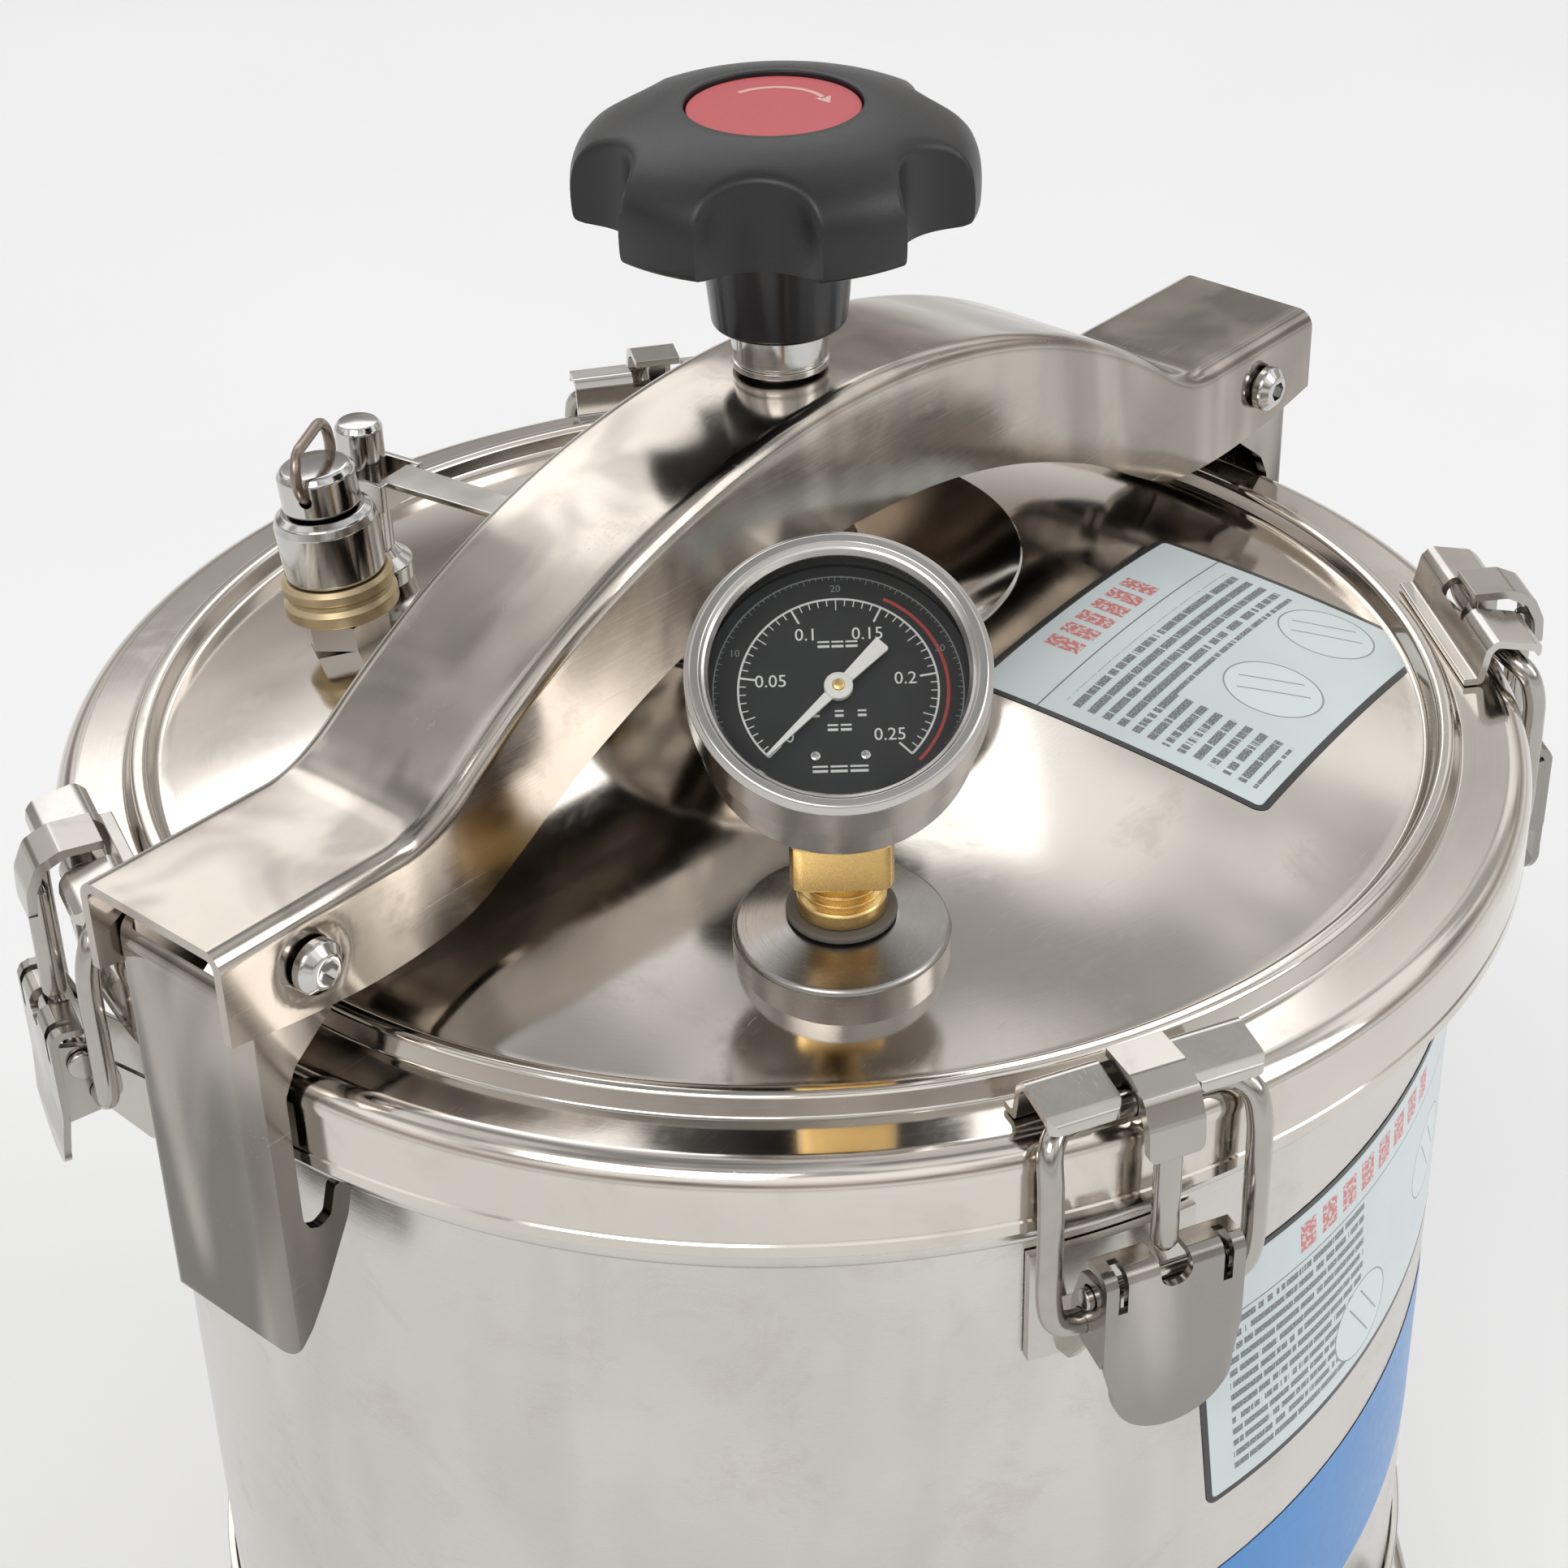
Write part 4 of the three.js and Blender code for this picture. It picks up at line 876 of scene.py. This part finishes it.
def make_arm(turn, name, body, node):
    outer = outline((140, -17.7), (ARM_FACE, -17.7, 3.8), (ARM_FACE, 17.7, 3.8), (140, 17.7), steps=8)
    back = ARM_FACE - 2.5
    inner = outline((140, 15.2), (back, 15.2, 1.4), (back, -15.2, 1.4), (140, -15.2), steps=4)
    folded = mesh_from(plate(outer + inner, -75, 50))
    mesh = beveled(boolean(folded, [prism(arm_outline(), -30, 30)], "INTERSECT"), 0.35, 55)
    finish_piece(name, mesh, ARM_STEEL, body, node, matrix=shift(0, 0, RIM) @ rot("Z", turn), smooth=30)


def make_bolts():
    for side, end in ((-1, "near"), (1, "far")):
        pivot = shift(side * PIVOT[0], 0, RIM + PIVOT[1])
        head = outline((0, 4.2), (3.4, 4.2, 2.0), (5.7, 2.2, 1.2), (5.7, 0.1, 0.3), (0, 0.1))
        mesh = boolean(mesh_from(spin(head, 48)), [plate(circle(2.5, 6), 1.6, 8)])
        finish_piece(f"bolt_{end}_head", mesh, CHROME, "pot", f"beam_bolt_{end}",
                     matrix=pivot @ shift(0, -20.6, 0) @ rot("X", 90), smooth=30)
        far_side = pivot @ shift(0, BEAM_HALF_WIDTH, 0) @ rot("X", -90)
        shank = outline((0, -41), (3.9, -41), (3.9, 7, 0.8), (0, 7), steps=3)
        turned(f"bolt_{end}_shank", shank, CHROME, "pot", slot="chrome_parts", matrix=far_side, segments=32)
        crown = spin([(0, -1), (7.6, -1), (7.6, 4.6), (6.2, 5.9), (0, 5.9)], 48)
        mesh = boolean(mesh_from(plate(circle(7.4, 6), 0.3, 5.8)), [crown], "INTERSECT")
        finish_piece(f"bolt_{end}_nut", mesh, CHROME, "pot", f"beam_nut_{end}", matrix=far_side, smooth=30)


# ------------------------------------------------------------------ clamping screw and knob

def make_screw():
    spindle = [(0, 27), (4.4, 27), (6, 28.6)]
    for z in np.arange(30, 84, 2.0):
        spindle += [(6.0, z), (5.2, z + 1.0)]
    spindle += outline((6, 85.4), (7.2, 85.6, 0.3), (7.2, 87.7, 0.2), (10.4, 87.7, 0.5), (10.4, 89.3, 0.15),
                       (9.9, 89.5, 0.1), (9.9, 90.1, 0.1), (10.4, 90.3, 0.15), (10.4, 97.1, 0.7),
                       (7.2, 97.1, 0.2), (7.2, 118), steps=3)
    turned("screw_spindle", up(spindle + [(0, 118)]), CHROME, "screw", "spindle", segments=96)
    bush = outline((6.4, 62), (14, 62), (14, 84.6), (6.4, 84.6), radius=0.6, steps=3)
    turned("beam_bush", up(bush), BEAM_STEEL, "pot", slot="polished_steel", segments=64, closed=True)
    bowl, upper = ([(r, low + PRESS_RADIUS - math.sqrt(PRESS_RADIUS ** 2 - r * r)) for r in radii]
                   for low, radii in ((22.5, np.linspace(0, 51.6, 24)), (24.7, np.linspace(51.6, 17, 18))))
    edge = bowl[-1][1]
    boss = outline((16, 27.4, 1.5), (16, 46, 0.8), (6.4, 46, 0.4), (6.4, 26.4), (0, 26.4), steps=4)
    turned("press_disc", up(bowl + [(52.0, edge + 0.9), (52.0, edge + 1.6)] + upper + boss), POLISHED,
           "press_plate", "pressure_plate", segments=160)


def knob_radius(theta, radius):
    """The knob's rim has six round flutes, which blend into its round body."""
    if radius <= 19.5:
        return radius
    flute_at, flute_radius, blend = 46.5, 13.5, 3.2
    delta = math.radians((math.degrees(theta) + 143.5 + 30) % 60 - 30)
    q = flute_radius ** 2 - (flute_at * math.sin(delta)) ** 2
    flute = flute_at * math.cos(delta) - math.copysign(math.sqrt(abs(q)), q)
    h = min(1.0, max(0.0, 0.5 + 0.5 * (flute - radius) / blend))
    return flute * (1 - h) + radius * h - blend * h * (1 - h)


def make_knob():
    hub = outline((7.5, 118), (7.5, 97.5, 0.5), (14.4, 97.5, 1.4), (15.9, 113), (17.2, 122.5, 1.0),
                  (30, 122.5), steps=4)
    side = smooth_line([(37.5, 122.5), (40.2, 122.6), (41.7, 123.5), (42.15, 125.5), (42.2, 130.0),
                        (41.6, 133.8), (39.9, 137.2), (36.6, 140.2), (31.5, 142.6), (25.5, 144.4),
                        (21.2, 145.2), (19.2, 145.3)], 4)
    rim = outline((19.2, 145.3), (18.35, 145.1, 0.4), (18.35, 142.8, 0.3), (0, 142.8), steps=3)
    shape = spin(up(hub + side + rim), 300, radius_at=knob_radius)
    knob = make("knob_body", shape, BLACK, "screw", "knob", smooth=50)
    knob.data.materials.append(BLACK_HUB)
    hub_top = 122.3 + RIM
    for polygon in knob.data.polygons:
        highest = max(knob.data.vertices[k].co.z for k in polygon.vertices) / MM
        polygon.material_index = 1 if highest < hub_top else 0
    cap = outline((0, 144.2), (18.0, 144.2, 0.35), (18.0, 143.1), (0, 143.1), steps=4)
    turned("knob_cap_disc", up(cap), RED, "screw", "knob_cap", segments=96)
    line = plate(arc(11.6, range(0, 112, 4)) + arc(10.5, range(108, -1, -4)), 144.22, 144.27)
    tip = plate([(9.3, 0.4), (12.8, 0.4), (11.0, -3.4)], 144.22, 144.27)
    make("knob_cap_arrow", joined([line, tip]), PALE_MARK, "screw", matrix=shift(0, 0, RIM) @ rot("Z", -26))


# ------------------------------------------------------------------ pressure gauge

def on_dome(angle, radius, turn, lean=0):
    """A fitting's place: its own Z stands on the lid, turned about it and leaning."""
    spot = polar(angle, radius, RIM + dome(radius))
    return shift(*spot) @ rot("Z", turn) @ rot("Y", lean)


GAUGE_STAND = on_dome(-133.1, 105.4, -138, 4)
GAUGE_TILT = 31
NECK_TOP = Vector((-6.4, 0, 47.5))
GAUGE_HEAD = GAUGE_STAND @ shift(*NECK_TOP) @ rot("Y", GAUGE_TILT)
DIAL_Z = 17.0
SCALE_START, SCALE_TURN = 225, 270


def flat_mark(points, z=DIAL_Z + 0.05, thick=0.03):
    """A printed mark from (right, up) points as the dial is read."""
    return plate([(-v, u) for u, v in points], z, z + thick)


def bar_mark(u0, u1, v, high):
    return flat_mark([(u0, v), (u1, v), (u1, v + high), (u0, v + high)])


def ring_mark(r0, r1, start=SCALE_START, end=SCALE_START - SCALE_TURN, steps=80):
    angles = [start + (end - start) * k / steps for k in range(steps + 1)]
    return flat_mark(arc(r1, angles) + arc(r0, reversed(angles)))


def tick_mark(angle, r0, r1, width):
    a = math.radians(angle)
    c, s, h = math.cos(a), math.sin(a), width / 2
    return flat_mark([(r0 * c + h * s, r0 * s - h * c), (r1 * c + h * s, r1 * s - h * c),
                      (r1 * c - h * s, r1 * s + h * c), (r0 * c - h * s, r0 * s + h * c)])


def number_mark(text, size, angle, reach):
    """Numerals as flat faces, centred at an angle and a reach on the dial."""
    (u, v), = arc(reach, [angle])
    data = bpy.data.curves.new("numeral", "FONT")
    data.body = text
    data.size = size * MM
    data.align_x = "CENTER"
    data.align_y = "CENTER"
    data.resolution_u = 3
    verts, faces = shape_from(bake(linked(data)))
    return [(-(y + v), x + u, DIAL_Z + 0.08) for x, y, _ in verts], faces


def make_gauge_stem():
    foot = outline((0, -6.5), (21.6, -6.5), (21.6, 5.0, 1.5), (11, 7.4, 2), (0, 7.8))
    turned("gauge_foot", foot, FOOT_STEEL, "pot", "gauge_flange", matrix=GAUGE_STAND)
    seal = outline((6, 8.0), (11.0, 8.0), (11.0, 9.7), (6, 9.7), radius=0.7, steps=4)
    turned("gauge_seal", seal, SEAL_RUBBER, "pot", "gauge_washer", matrix=GAUGE_STAND, segments=64,
           closed=True)
    shoulder = [(8.9, 9.9), (8.9, 13.0)]
    for z in (13.4, 15.5, 17.6):
        shoulder += [(8.6, z), (7.3, z + 0.75), (7.3, z + 1.1), (8.6, z + 1.9)]
    thread = outline((0, 9.9, 0), *shoulder, (8.0, 20.6), (0, 20.6, 0), radius=0.25, steps=3)
    square = outline((-10, -10), (10, -10), (10, 10), (-10, 10), radius=2.6, steps=2)
    body = shape_from(beveled(mesh_from(plate(square, 20.2, 31)), 0.7, 50, 3))
    axis = rot("Y", GAUGE_TILT).to_3x3() @ Vector((0, 0, 1))
    bend = [(0, 0, 28), (-0.4, 0, 34.5), tuple(NECK_TOP - axis * 9), tuple(NECK_TOP + axis * 0.3)]
    shape = joined([spin(thread, 64), body, sweep(smooth_line(bend, 6), 6.2, 24)])
    make("gauge_neck", shape, BRASS, "pot", "gauge_stem", matrix=GAUGE_STAND, smooth=35)


def make_gauge_case():
    can = outline((0, 0), (26.7, 0, 2.4), (26.7, 23, 0.2), (25.5, 23, 0.2), (25.5, 2.6), (0, 2.4))
    turned("gauge_can", can, GAUGE_STEEL, "pot", "gauge_case", matrix=GAUGE_HEAD, segments=144)
    bezel = outline((26.9, 15.7, 0.2), (28.3, 15.7, 0.6), (28.3, 25.9, 0.9), (27.2, 27.2, 0.8),
                    (25.6, 27.2, 0.4), (25.0, 26.5, 0.2), (24.5, 26.3, 0.2), (23.8, 25.2, 0.2), (23.8, 24.9),
                    (26.9, 24.9), steps=5)
    turned("gauge_ring", bezel, GAUGE_STEEL, "pot", "gauge_bezel", matrix=GAUGE_HEAD, segments=160,
           closed=True)
    window = outline((0, 23.5), (26.2, 23.5, 0.2), (26.2, 24.8, 0.2), (0, 24.8), steps=2)
    turned("gauge_window", window, GLASS, "pot", "gauge_glass", matrix=GAUGE_HEAD, segments=96)
    face = [(1.4, 16.4), (25.2, 16.4), (25.2, DIAL_Z), (1.4, DIAL_Z)]
    turned("gauge_face", face, DIAL_BLACK, "pot", "gauge_dial", matrix=GAUGE_HEAD, segments=96, closed=True)
    for number, u in enumerate((-4.6, 4.6), 1):
        screw = outline((0, 17.05), (0.95, 17.05), (0.95, 17.5, 0.2), (0, 17.65), steps=3)
        turned(f"dial_screw_{number}", screw, CHROME, "pot", slot="chrome_parts",
               matrix=GAUGE_HEAD @ shift(13.2, u, 0), segments=24)


def make_gauge_scale():
    white = [ring_mark(18.3, 18.7)]
    for k in range(51):
        long = 3.2 if k % 10 == 0 else 2.3 if k % 5 == 0 else 1.4
        width = 0.38 if k % 10 == 0 else 0.2
        white.append(tick_mark(SCALE_START - SCALE_TURN * k / 50, 18.5 - long, 18.5, width))
    for k, text in enumerate(("0", "0.05", "0.1", "0.15", "0.2", "0.25")):
        white.append(number_mark(text, 3.5, SCALE_START - 54 * k, 12.6 if 0 < k < 5 else 13.0))
    dashes = ((8.6, ((-3.6, -1.4), (-1.0, 1.2), (1.6, 3.8))), (-5.4, ((-5.0, -3.6), (-0.8, 0.8), (3.4, 5.0))),
              (-8.2, ((-2.2, -0.3), (0.2, 2.2))), (-16.4, ((-5.2, -2.4), (-1.9, 1.2), (1.7, 5.0))))
    for row_at, spans in dashes:
        for u0, u1 in spans:
            white += [bar_mark(u0, u1, row_at, 0.5), bar_mark(u0, u1, row_at + 1.0, 0.35)]
    grey = [ring_mark(23.0, 23.25)]
    for k in range(91):
        grey.append(tick_mark(SCALE_START - 3 * k, 22.1 if k % 5 == 0 else 22.5, 23.1, 0.14))
    for k, text in enumerate(("10", "20", "30"), 1):
        grey.append(number_mark(text, 2.0, SCALE_START - 67.5 * k, 20.6))
    red = [ring_mark(20.0, 20.6, 64, -45, 60)]
    for name, marks, material in (("gauge_scale", white, DIAL_WHITE), ("gauge_scale_outer", grey, DIAL_GREY),
                                  ("gauge_scale_red", red, DIAL_RED)):
        make(name, joined(marks), material, "pot", matrix=GAUGE_HEAD, weighted=False)


def make_needle():
    edge = [(-19.0, -0.28), (-1.5, -1.0), (1.5, -1.0), (11.6, -1.6), (12.0, -1.2)]
    blade = [(-19.0, 0.28)] + edge + [(u, -v) for u, v in reversed(edge[1:])]
    c = s = math.sqrt(0.5)
    points = [(u * c - v * s, u * s + v * c) for u, v in blade]
    shape = flat_mark(points, 18.5, 0.5)
    make("needle_blade", shape, NEEDLE_WHITE, "needle", "gauge_needle", matrix=GAUGE_HEAD)
    hub = outline((0, 14), (0.9, 14), (0.9, 17.9), (2.7, 18.0, 0.2), (2.7, 19.3, 0.3), (1.4, 19.5), (0, 19.5),
                  steps=4)
    rivet = outline((0, 19.3), (1.2, 19.3), (1.2, 19.8, 0.3), (0, 20.0), steps=3)
    for name, profile, material, segments in (("hub", hub, NEEDLE_WHITE, 40), ("rivet", rivet, BRASS, 32)):
        turned(f"needle_{name}", profile, material, "needle", slot="needle_paint", matrix=GAUGE_HEAD,
               segments=segments)


# ------------------------------------------------------------------ safety valve and vent

VALVE = on_dome(120, 104, 120, 5)
VENT = on_dome(105.7, 110, -82)


def make_valve():
    crown = spin([(0, -0.6), (10.7, -0.6), (10.7, 6.2), (9.1, 7), (0, 7)], 48)
    bore = spin([(0, -1.6), (3.0, -1.6), (3.0, 9), (0, 9)], 32)
    mesh = boolean(boolean(mesh_from(plate(circle(10.5, 6), 0.4, 7)), [crown], "INTERSECT"), [bore])
    finish_piece("valve_hexagon", mesh, CHROME, "pot", "valve_hex_base", matrix=VALVE, smooth=30)
    seat = outline((3, 7.3), (11, 7.3, 0.3), (13.2, 8.2, 0.5), (13.2, 11, 0.5), (12.2, 12, 0.2),
                   (12.2, 13, 0.2), (13, 14, 0.4), (13, 16, 0.4), (12, 17, 0.3), (3, 17), steps=4)
    turned("valve_brass_rings", seat, DULL_BRASS, "pot", "valve_seat", matrix=VALVE, segments=96, closed=True)
    cover = outline((8, 17.3), (11.3, 17.3, 0.2), (11.6, 18, 0.3), (11.9, 30, 1.2), (11.2, 32, 1.2),
                    (9.6, 33, 0.8), (3.3, 33, 0.3), (3.3, 30), (8, 30), steps=5)
    turned("valve_cover", cover, CHROME, "pot", "valve_body", matrix=VALVE, segments=112, closed=True)
    cap = outline((0, 18), (6, 18, 0.2), (6, 20, 0.2), (2.6, 20, 0.3), (2.6, 33.6, 0.2), (8.4, 33.6, 0.4),
                  (9, 34.4, 0.4), (9, 42, 1.2), (7.8, 43.6, 1.4), (0, 44.2), steps=5)
    mesh = boolean(mesh_from(spin(cap, 96)), [rod((0, -12, 38.5), (0, 12, 38.5), 1.55)])
    finish_piece("valve_stem_cap", mesh, CHROME, "plunger", "valve_plunger", matrix=VALVE, smooth=35)
    half = [(0, -5, 38.5), (0, -11.2, 38.5), (0, -11.2, 50.4)]
    corners = half + [(0, -y, z) for _, y, z in reversed(half)]
    make("valve_ring_wire", sweep(bent(corners, 5.6, 1.2), 1.3), BRONZE_WIRE, "pull_ring", "valve_pull_ring",
         matrix=VALVE)
    turns = np.linspace(0, 8 * math.pi, 129)
    coil = [(5 * math.cos(a), 5 * math.sin(a), 21.2 + 7.6 * a / turns[-1]) for a in turns]
    spring = make("valve_coil", sweep(coil, 0.7, 10), WIRE_STEEL, "pot", "valve_spring", matrix=VALVE)
    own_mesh(spring)


def make_vent():
    tube = outline((0, 0.5), (9.5, 0.5, 0.3), (9.5, 6, 0.8), (7, 8, 0.8), (5.6, 10, 1.2), (5.6, 41, 1.0),
                   (4.6, 42.4, 0.6), (0, 43), steps=5)
    pin = outline((0, 9.4), (1.5, 9.4, 0.4), (1.5, -9.4, 0.4), (0, -9.4), steps=3)
    lying = moved(spin(pin, 24), shift(0, 0, 28) @ rot("X", 90))
    make("vent_tube", joined([spin(tube, 96), lying]), CHROME, "pot", "vent_valve", matrix=VENT)
    blade = outline((9.4, -5), (44, -4.5, 1), (48, -2, 1.6), (48, 2, 1.6), (44, 4.5, 1), (9.4, 5), steps=4)
    side = outline((-4, 24.5, 2.6), (12, 24.5, 0.6), (12, 31.5, 0.3), (-4, 31.5, 2.6), steps=5)
    shape = joined([prism(side, -7.7, -6.1), prism(side, 6.1, 7.7), block(9.9, 11.9, -6.2, 6.2, 24.6, 31.4),
                    plate(blade, 30, 31.45)])
    mesh = beveled(mesh_from(shape), 0.3, 50)
    finish_piece("vent_lever_blade", mesh, LATCH_STEEL, "vent_lever", "vent_lever", matrix=VENT, smooth=35)


# ------------------------------------------------------------------ latches

def strike_shape():
    """The strike's bent strip, stamped into two tongues and the web between them."""
    side = outline((151, 3.3, 0.4), (155.6, 3.3, 1.6), (157, 10.9, 1.2), (158.4, 12.4, 1.4),
                   (166.8, 10.7, 0.9), (168.2, 8.9, 0.2), (169.7, 9.2, 0.2), (169.2, 11.2, 0.9),
                   (167.4, 12.4, 1.6), (157.8, 14.3, 2.4), (155.6, 12.0, 1.6), (154.2, 4.9, 0.8),
                   (151, 4.9, 0.4), steps=5)
    right, left = (outline((140, y0), (169.8, y0, 3.2), (169.8, y1, 3.2), (140, y1))
                   for y0, y1 in ((-22.9, -7.4), (7.4, 22.9)))
    web = [(140, -7.41), (155.4, -7.41), (155.4, 7.41), (140, 7.41)]
    return merged([boolean(mesh_from(prism(side, -22.9, 22.9)), [plate(cutter, -5, 25)], "INTERSECT")
                   for cutter in (right, left, web)])


def base_shape():
    """A curved back plate with two ears that hold the pin."""
    wall, half = POT_WALL + 0.35, np.linspace(-18.4, 18.4, 21)
    curve = [math.asin(y / wall) for y in half]
    inner = [(wall * math.cos(a), wall * math.sin(a)) for a in curve]
    outer = [((wall + 2.1) * math.cos(a), y) for a, y in zip(reversed(curve), half[::-1])]
    ear = outline((154, -59), (160, -57, 2), (176, -33.5, 3), (175.8, -28.2, 2), (172, -26, 3),
                  (168.4, -28, 2), (167.4, -32.4, 2), (154, -46), steps=4)
    ears = [beveled(mesh_from(prism(ear, y0, y0 + 2)), 0.25, 40) for y0 in (-12.4, 10.4)]
    return merged([mesh_from(plate(inner + outer, -60, -33))] + ears)


def lever_shape():
    """A front plate with a slot and two slits, and a cheek at each side with holes for both pins."""
    front = outline((178.2, -24, 1.6), (177.2, -22, 1.6), (175.4, -21.4, 1.2), (170.6, -21.5, 0.3),
                    (170.6, -23.0, 0.3), (175, -23.0, 0.8), (176, -23.9, 0.8), (176.5, -25.4, 0.8),
                    (176.5, -44, 4), (177.4, -54, 4), (177.1, -62.6, 0.3), (178.7, -62.6, 0.3),
                    (179.0, -53.8, 6), (178.1, -43.8, 6), steps=5)
    tongue = [(-15, -15), (15, -15), (15, -42), (14.2, -46)]
    tongue += [(13.2 * math.cos(a), -50 - 12.4 * math.sin(a)) for a in np.linspace(0, math.pi, 33)]
    tongue += [(-14.2, -46), (-15, -42)]
    face = boolean(mesh_from(prism(front, -15, 15)), [stamp(tongue)], "INTERSECT")
    slits = [block(172.5, 190, y0, y0 + 2.0, -30.5, -15) for y0 in (-12.3, 10.3)]
    slot = [block(166, 190, -3.4, 3.4, -24.2, -15), rod((166, 0, -24.2), (190, 0, -24.2), 3.4, 32)]
    for tool in slot + slits:
        face = boolean(face, [tool])
    meshes = [beveled(face, 0.3)]
    cheek = outline((176.8, -24.6), (176.8, -44.6), (168.6, -43.2, 2), (164.6, -40.4, 2.5), (164.6, -36, 2.5),
                    (168, -26.5, 1.5), steps=5)
    holes = [cross_rod(2.6, place, -20, 20, 24) for place in (LATCH_PIN, BAIL_PIN)]
    for y0, y1 in ((-15, -13.25), (13.25, 15)):
        meshes.append(beveled(boolean(mesh_from(prism(cheek, y0, y1)), holes), 0.25))
    return merged(meshes)


def pin_shape():
    shank = outline((0, -16.6), (2.2, -16.6, 0.5), (2.2, 15.3), (3.4, 15.3, 0.1), (3.4, 16.8, 0.9), (0, 16.8),
                    steps=4)
    return moved(spin(shank, 32), shift(LATCH_PIN[0], 0, LATCH_PIN[1]) @ rot("X", -90))


def bail_shape():
    half = [(163, 0, 6.2), (163, 6, 6.2), (163, 12, 6.2), (164.2, 18.3, 6.0), (166.8, 21.5, 3.4),
            (168.6, 22.2, -2.5), (169, 22.2, -10), (169, 22.2, -20), (169, 22.2, -30), (169, 20.9, -35.9),
            (169, 17.5, -38), (169, 13.1, -38)]
    path = [(x, -y, z) for x, y, z in reversed(half[1:])] + half
    return sweep(smooth_line(path, 7), 2.55, 20)


def hook_shape():
    """A strap over the strike, an eye round the bail's bar, and a rod that hangs down the lever."""
    strap = outline((158.4, 14.9, 0.2), (166.4, 14.9, 3), (171.2, 12.6, 3), (173.6, 8.0, 4),
                    (174.2, 1.6, 0.2), (176.1, 1.6, 0.2), (175.7, 8.6, 6), (173.0, 14.4, 3.5),
                    (167.6, 16.8, 3.5), (158.4, 16.8, 0.2), steps=5)
    width = outline((-5.9, 30), (-5.9, 2.0, 3.4), (-2.6, 1.3, 1), (2.6, 1.3, 1), (5.9, 2.0, 3.4), (5.9, 30))
    face = beveled(boolean(mesh_from(prism(strap, -5.9, 5.9)), [stamp(width)], "INTERSECT"), 0.35)
    hanging = outline((0, 8.0), (1.6, 8.0, 0.6), (2.7, 5.6, 1.2), (2.7, -20.4, 1.2), (1.4, -22.4, 1),
                      (0, -22.4), steps=4)
    eye = boolean(mesh_from(cross_rod(4.2, BAIL_BAR, -2.6, 2.6)), [cross_rod(2.8, BAIL_BAR, -9, 9, 32)])
    neck = beveled(mesh_from(block(160.4, 165.6, -2.5, 2.5, 9.2, 15.2)), 0.6, 40)
    return joined([moved(spin(hanging, 32), shift(172.8, 0, 0)), merged([face, eye, neck])])


def make_latches():
    pieces = [("strike", strike_shape(), LATCH_STEEL, "pot"), ("base", base_shape(), LATCH_STEEL, "pot"),
              ("pin", pin_shape(), WIRE_STEEL, "pot"), ("lever", lever_shape(), LEVER_STEEL, "lever_{}"),
              ("bail", bail_shape(), WIRE_STEEL, "bail_{}"), ("hook", hook_shape(), WIRE_STEEL, "bail_{}")]
    for kind, shape, material, body in pieces:
        mesh = mesh_from(shape)
        for number, angle in enumerate(LATCH_ANGLES, 1):
            node = f"latch_{kind}_{number}"
            finish_piece(f"side_{kind}_{number}", mesh, material, body.format(number), node,
                         matrix=shift(0, 0, RIM) @ rot("Z", angle), smooth=38)


# ------------------------------------------------------------------ side handles and rack

def make_handles():
    """Two wire loops that hang from lugs on curved plates."""
    wall, out, drop = POT_WALL + 0.35, 161.0, 46.0
    half = [(out, -62.9, 0), (out, -46, 0), (out, -46, -drop)]
    points = half + [(x, -y, z) for x, y, z in reversed(half)]
    spread = np.linspace(-66 / wall, 66 / wall, 41)
    strip = [(wall * math.cos(a), wall * math.sin(a)) for a in spread]
    strip += [((wall + 1.9) * math.cos(a), (wall + 1.9) * math.sin(a)) for a in spread[::-1]]
    seat = wall * math.cos(58 / wall) - 3
    lug = outline((seat, -3.5), (out, -6, 5.4), (out + 6, 0, 5.6), (out, 6, 5.4), (seat, 3.5), steps=8)
    for side, angle in HANDLE_ANGLES:
        matrix = shift(0, 0, RIM + HANDLE_LEVEL) @ rot("Z", angle)
        make(f"grip_{side}", sweep(bent(points, 9, 3.0), 3.95, 24), WIRE_STEEL, f"handle_{side}",
             f"side_handle_{side}", matrix=matrix)
        meshes = [beveled(mesh_from(plate(strip, -9, 12)), 0.4, 50)]
        for y0 in (-64, 52):
            hole = cross_rod(4.35, (out, 0), y0 - 3, y0 + 15)
            meshes.append(beveled(boolean(mesh_from(prism(lug, y0, y0 + 12)), [hole]), 0.4, 50))
        make(f"grip_plate_{side}", merged(meshes), LATCH_STEEL, "pot", f"handle_mount_{side}", matrix=matrix,
             smooth=35)


def make_rack():
    floor, top = (corner.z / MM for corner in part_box("canning_rack"))
    low = top - 2
    holes = []
    for distance, count in ((0, 1), (46, 6), (96, 12)):
        holes += [plate(circle(10.8, 32, x, y), low - 3, low + 5) for x, y in circle(distance, count)]
    disc = boolean(mesh_from(plate(circle(139.6, 96), low, low + 1.9)), [joined(holes)])
    foot = block(126.2, 133.8, -11.8, 11.8, floor + 0.05, low + 0.6)
    feet = [moved(foot, rot("Z", 45 + 90 * i)) for i in range(4)]
    make("rack_plate", joined([shape_from(disc)] + feet), POT_STEEL, "pot", "canning_rack", smooth=30)


make_lid()
make_pot()
make_lid_panel()
make_wall_panels()
make_beam()
make_arm(180, "arm_near_shell", "arm_near", "clamp_arm_near")
make_arm(0, "arm_far_shell", "arm_far", "clamp_arm_far")
make_bolts()
make_screw()
make_knob()
make_gauge_stem()
make_gauge_case()
make_gauge_scale()
make_needle()
make_valve()
make_vent()
make_latches()
make_handles()
make_rack()
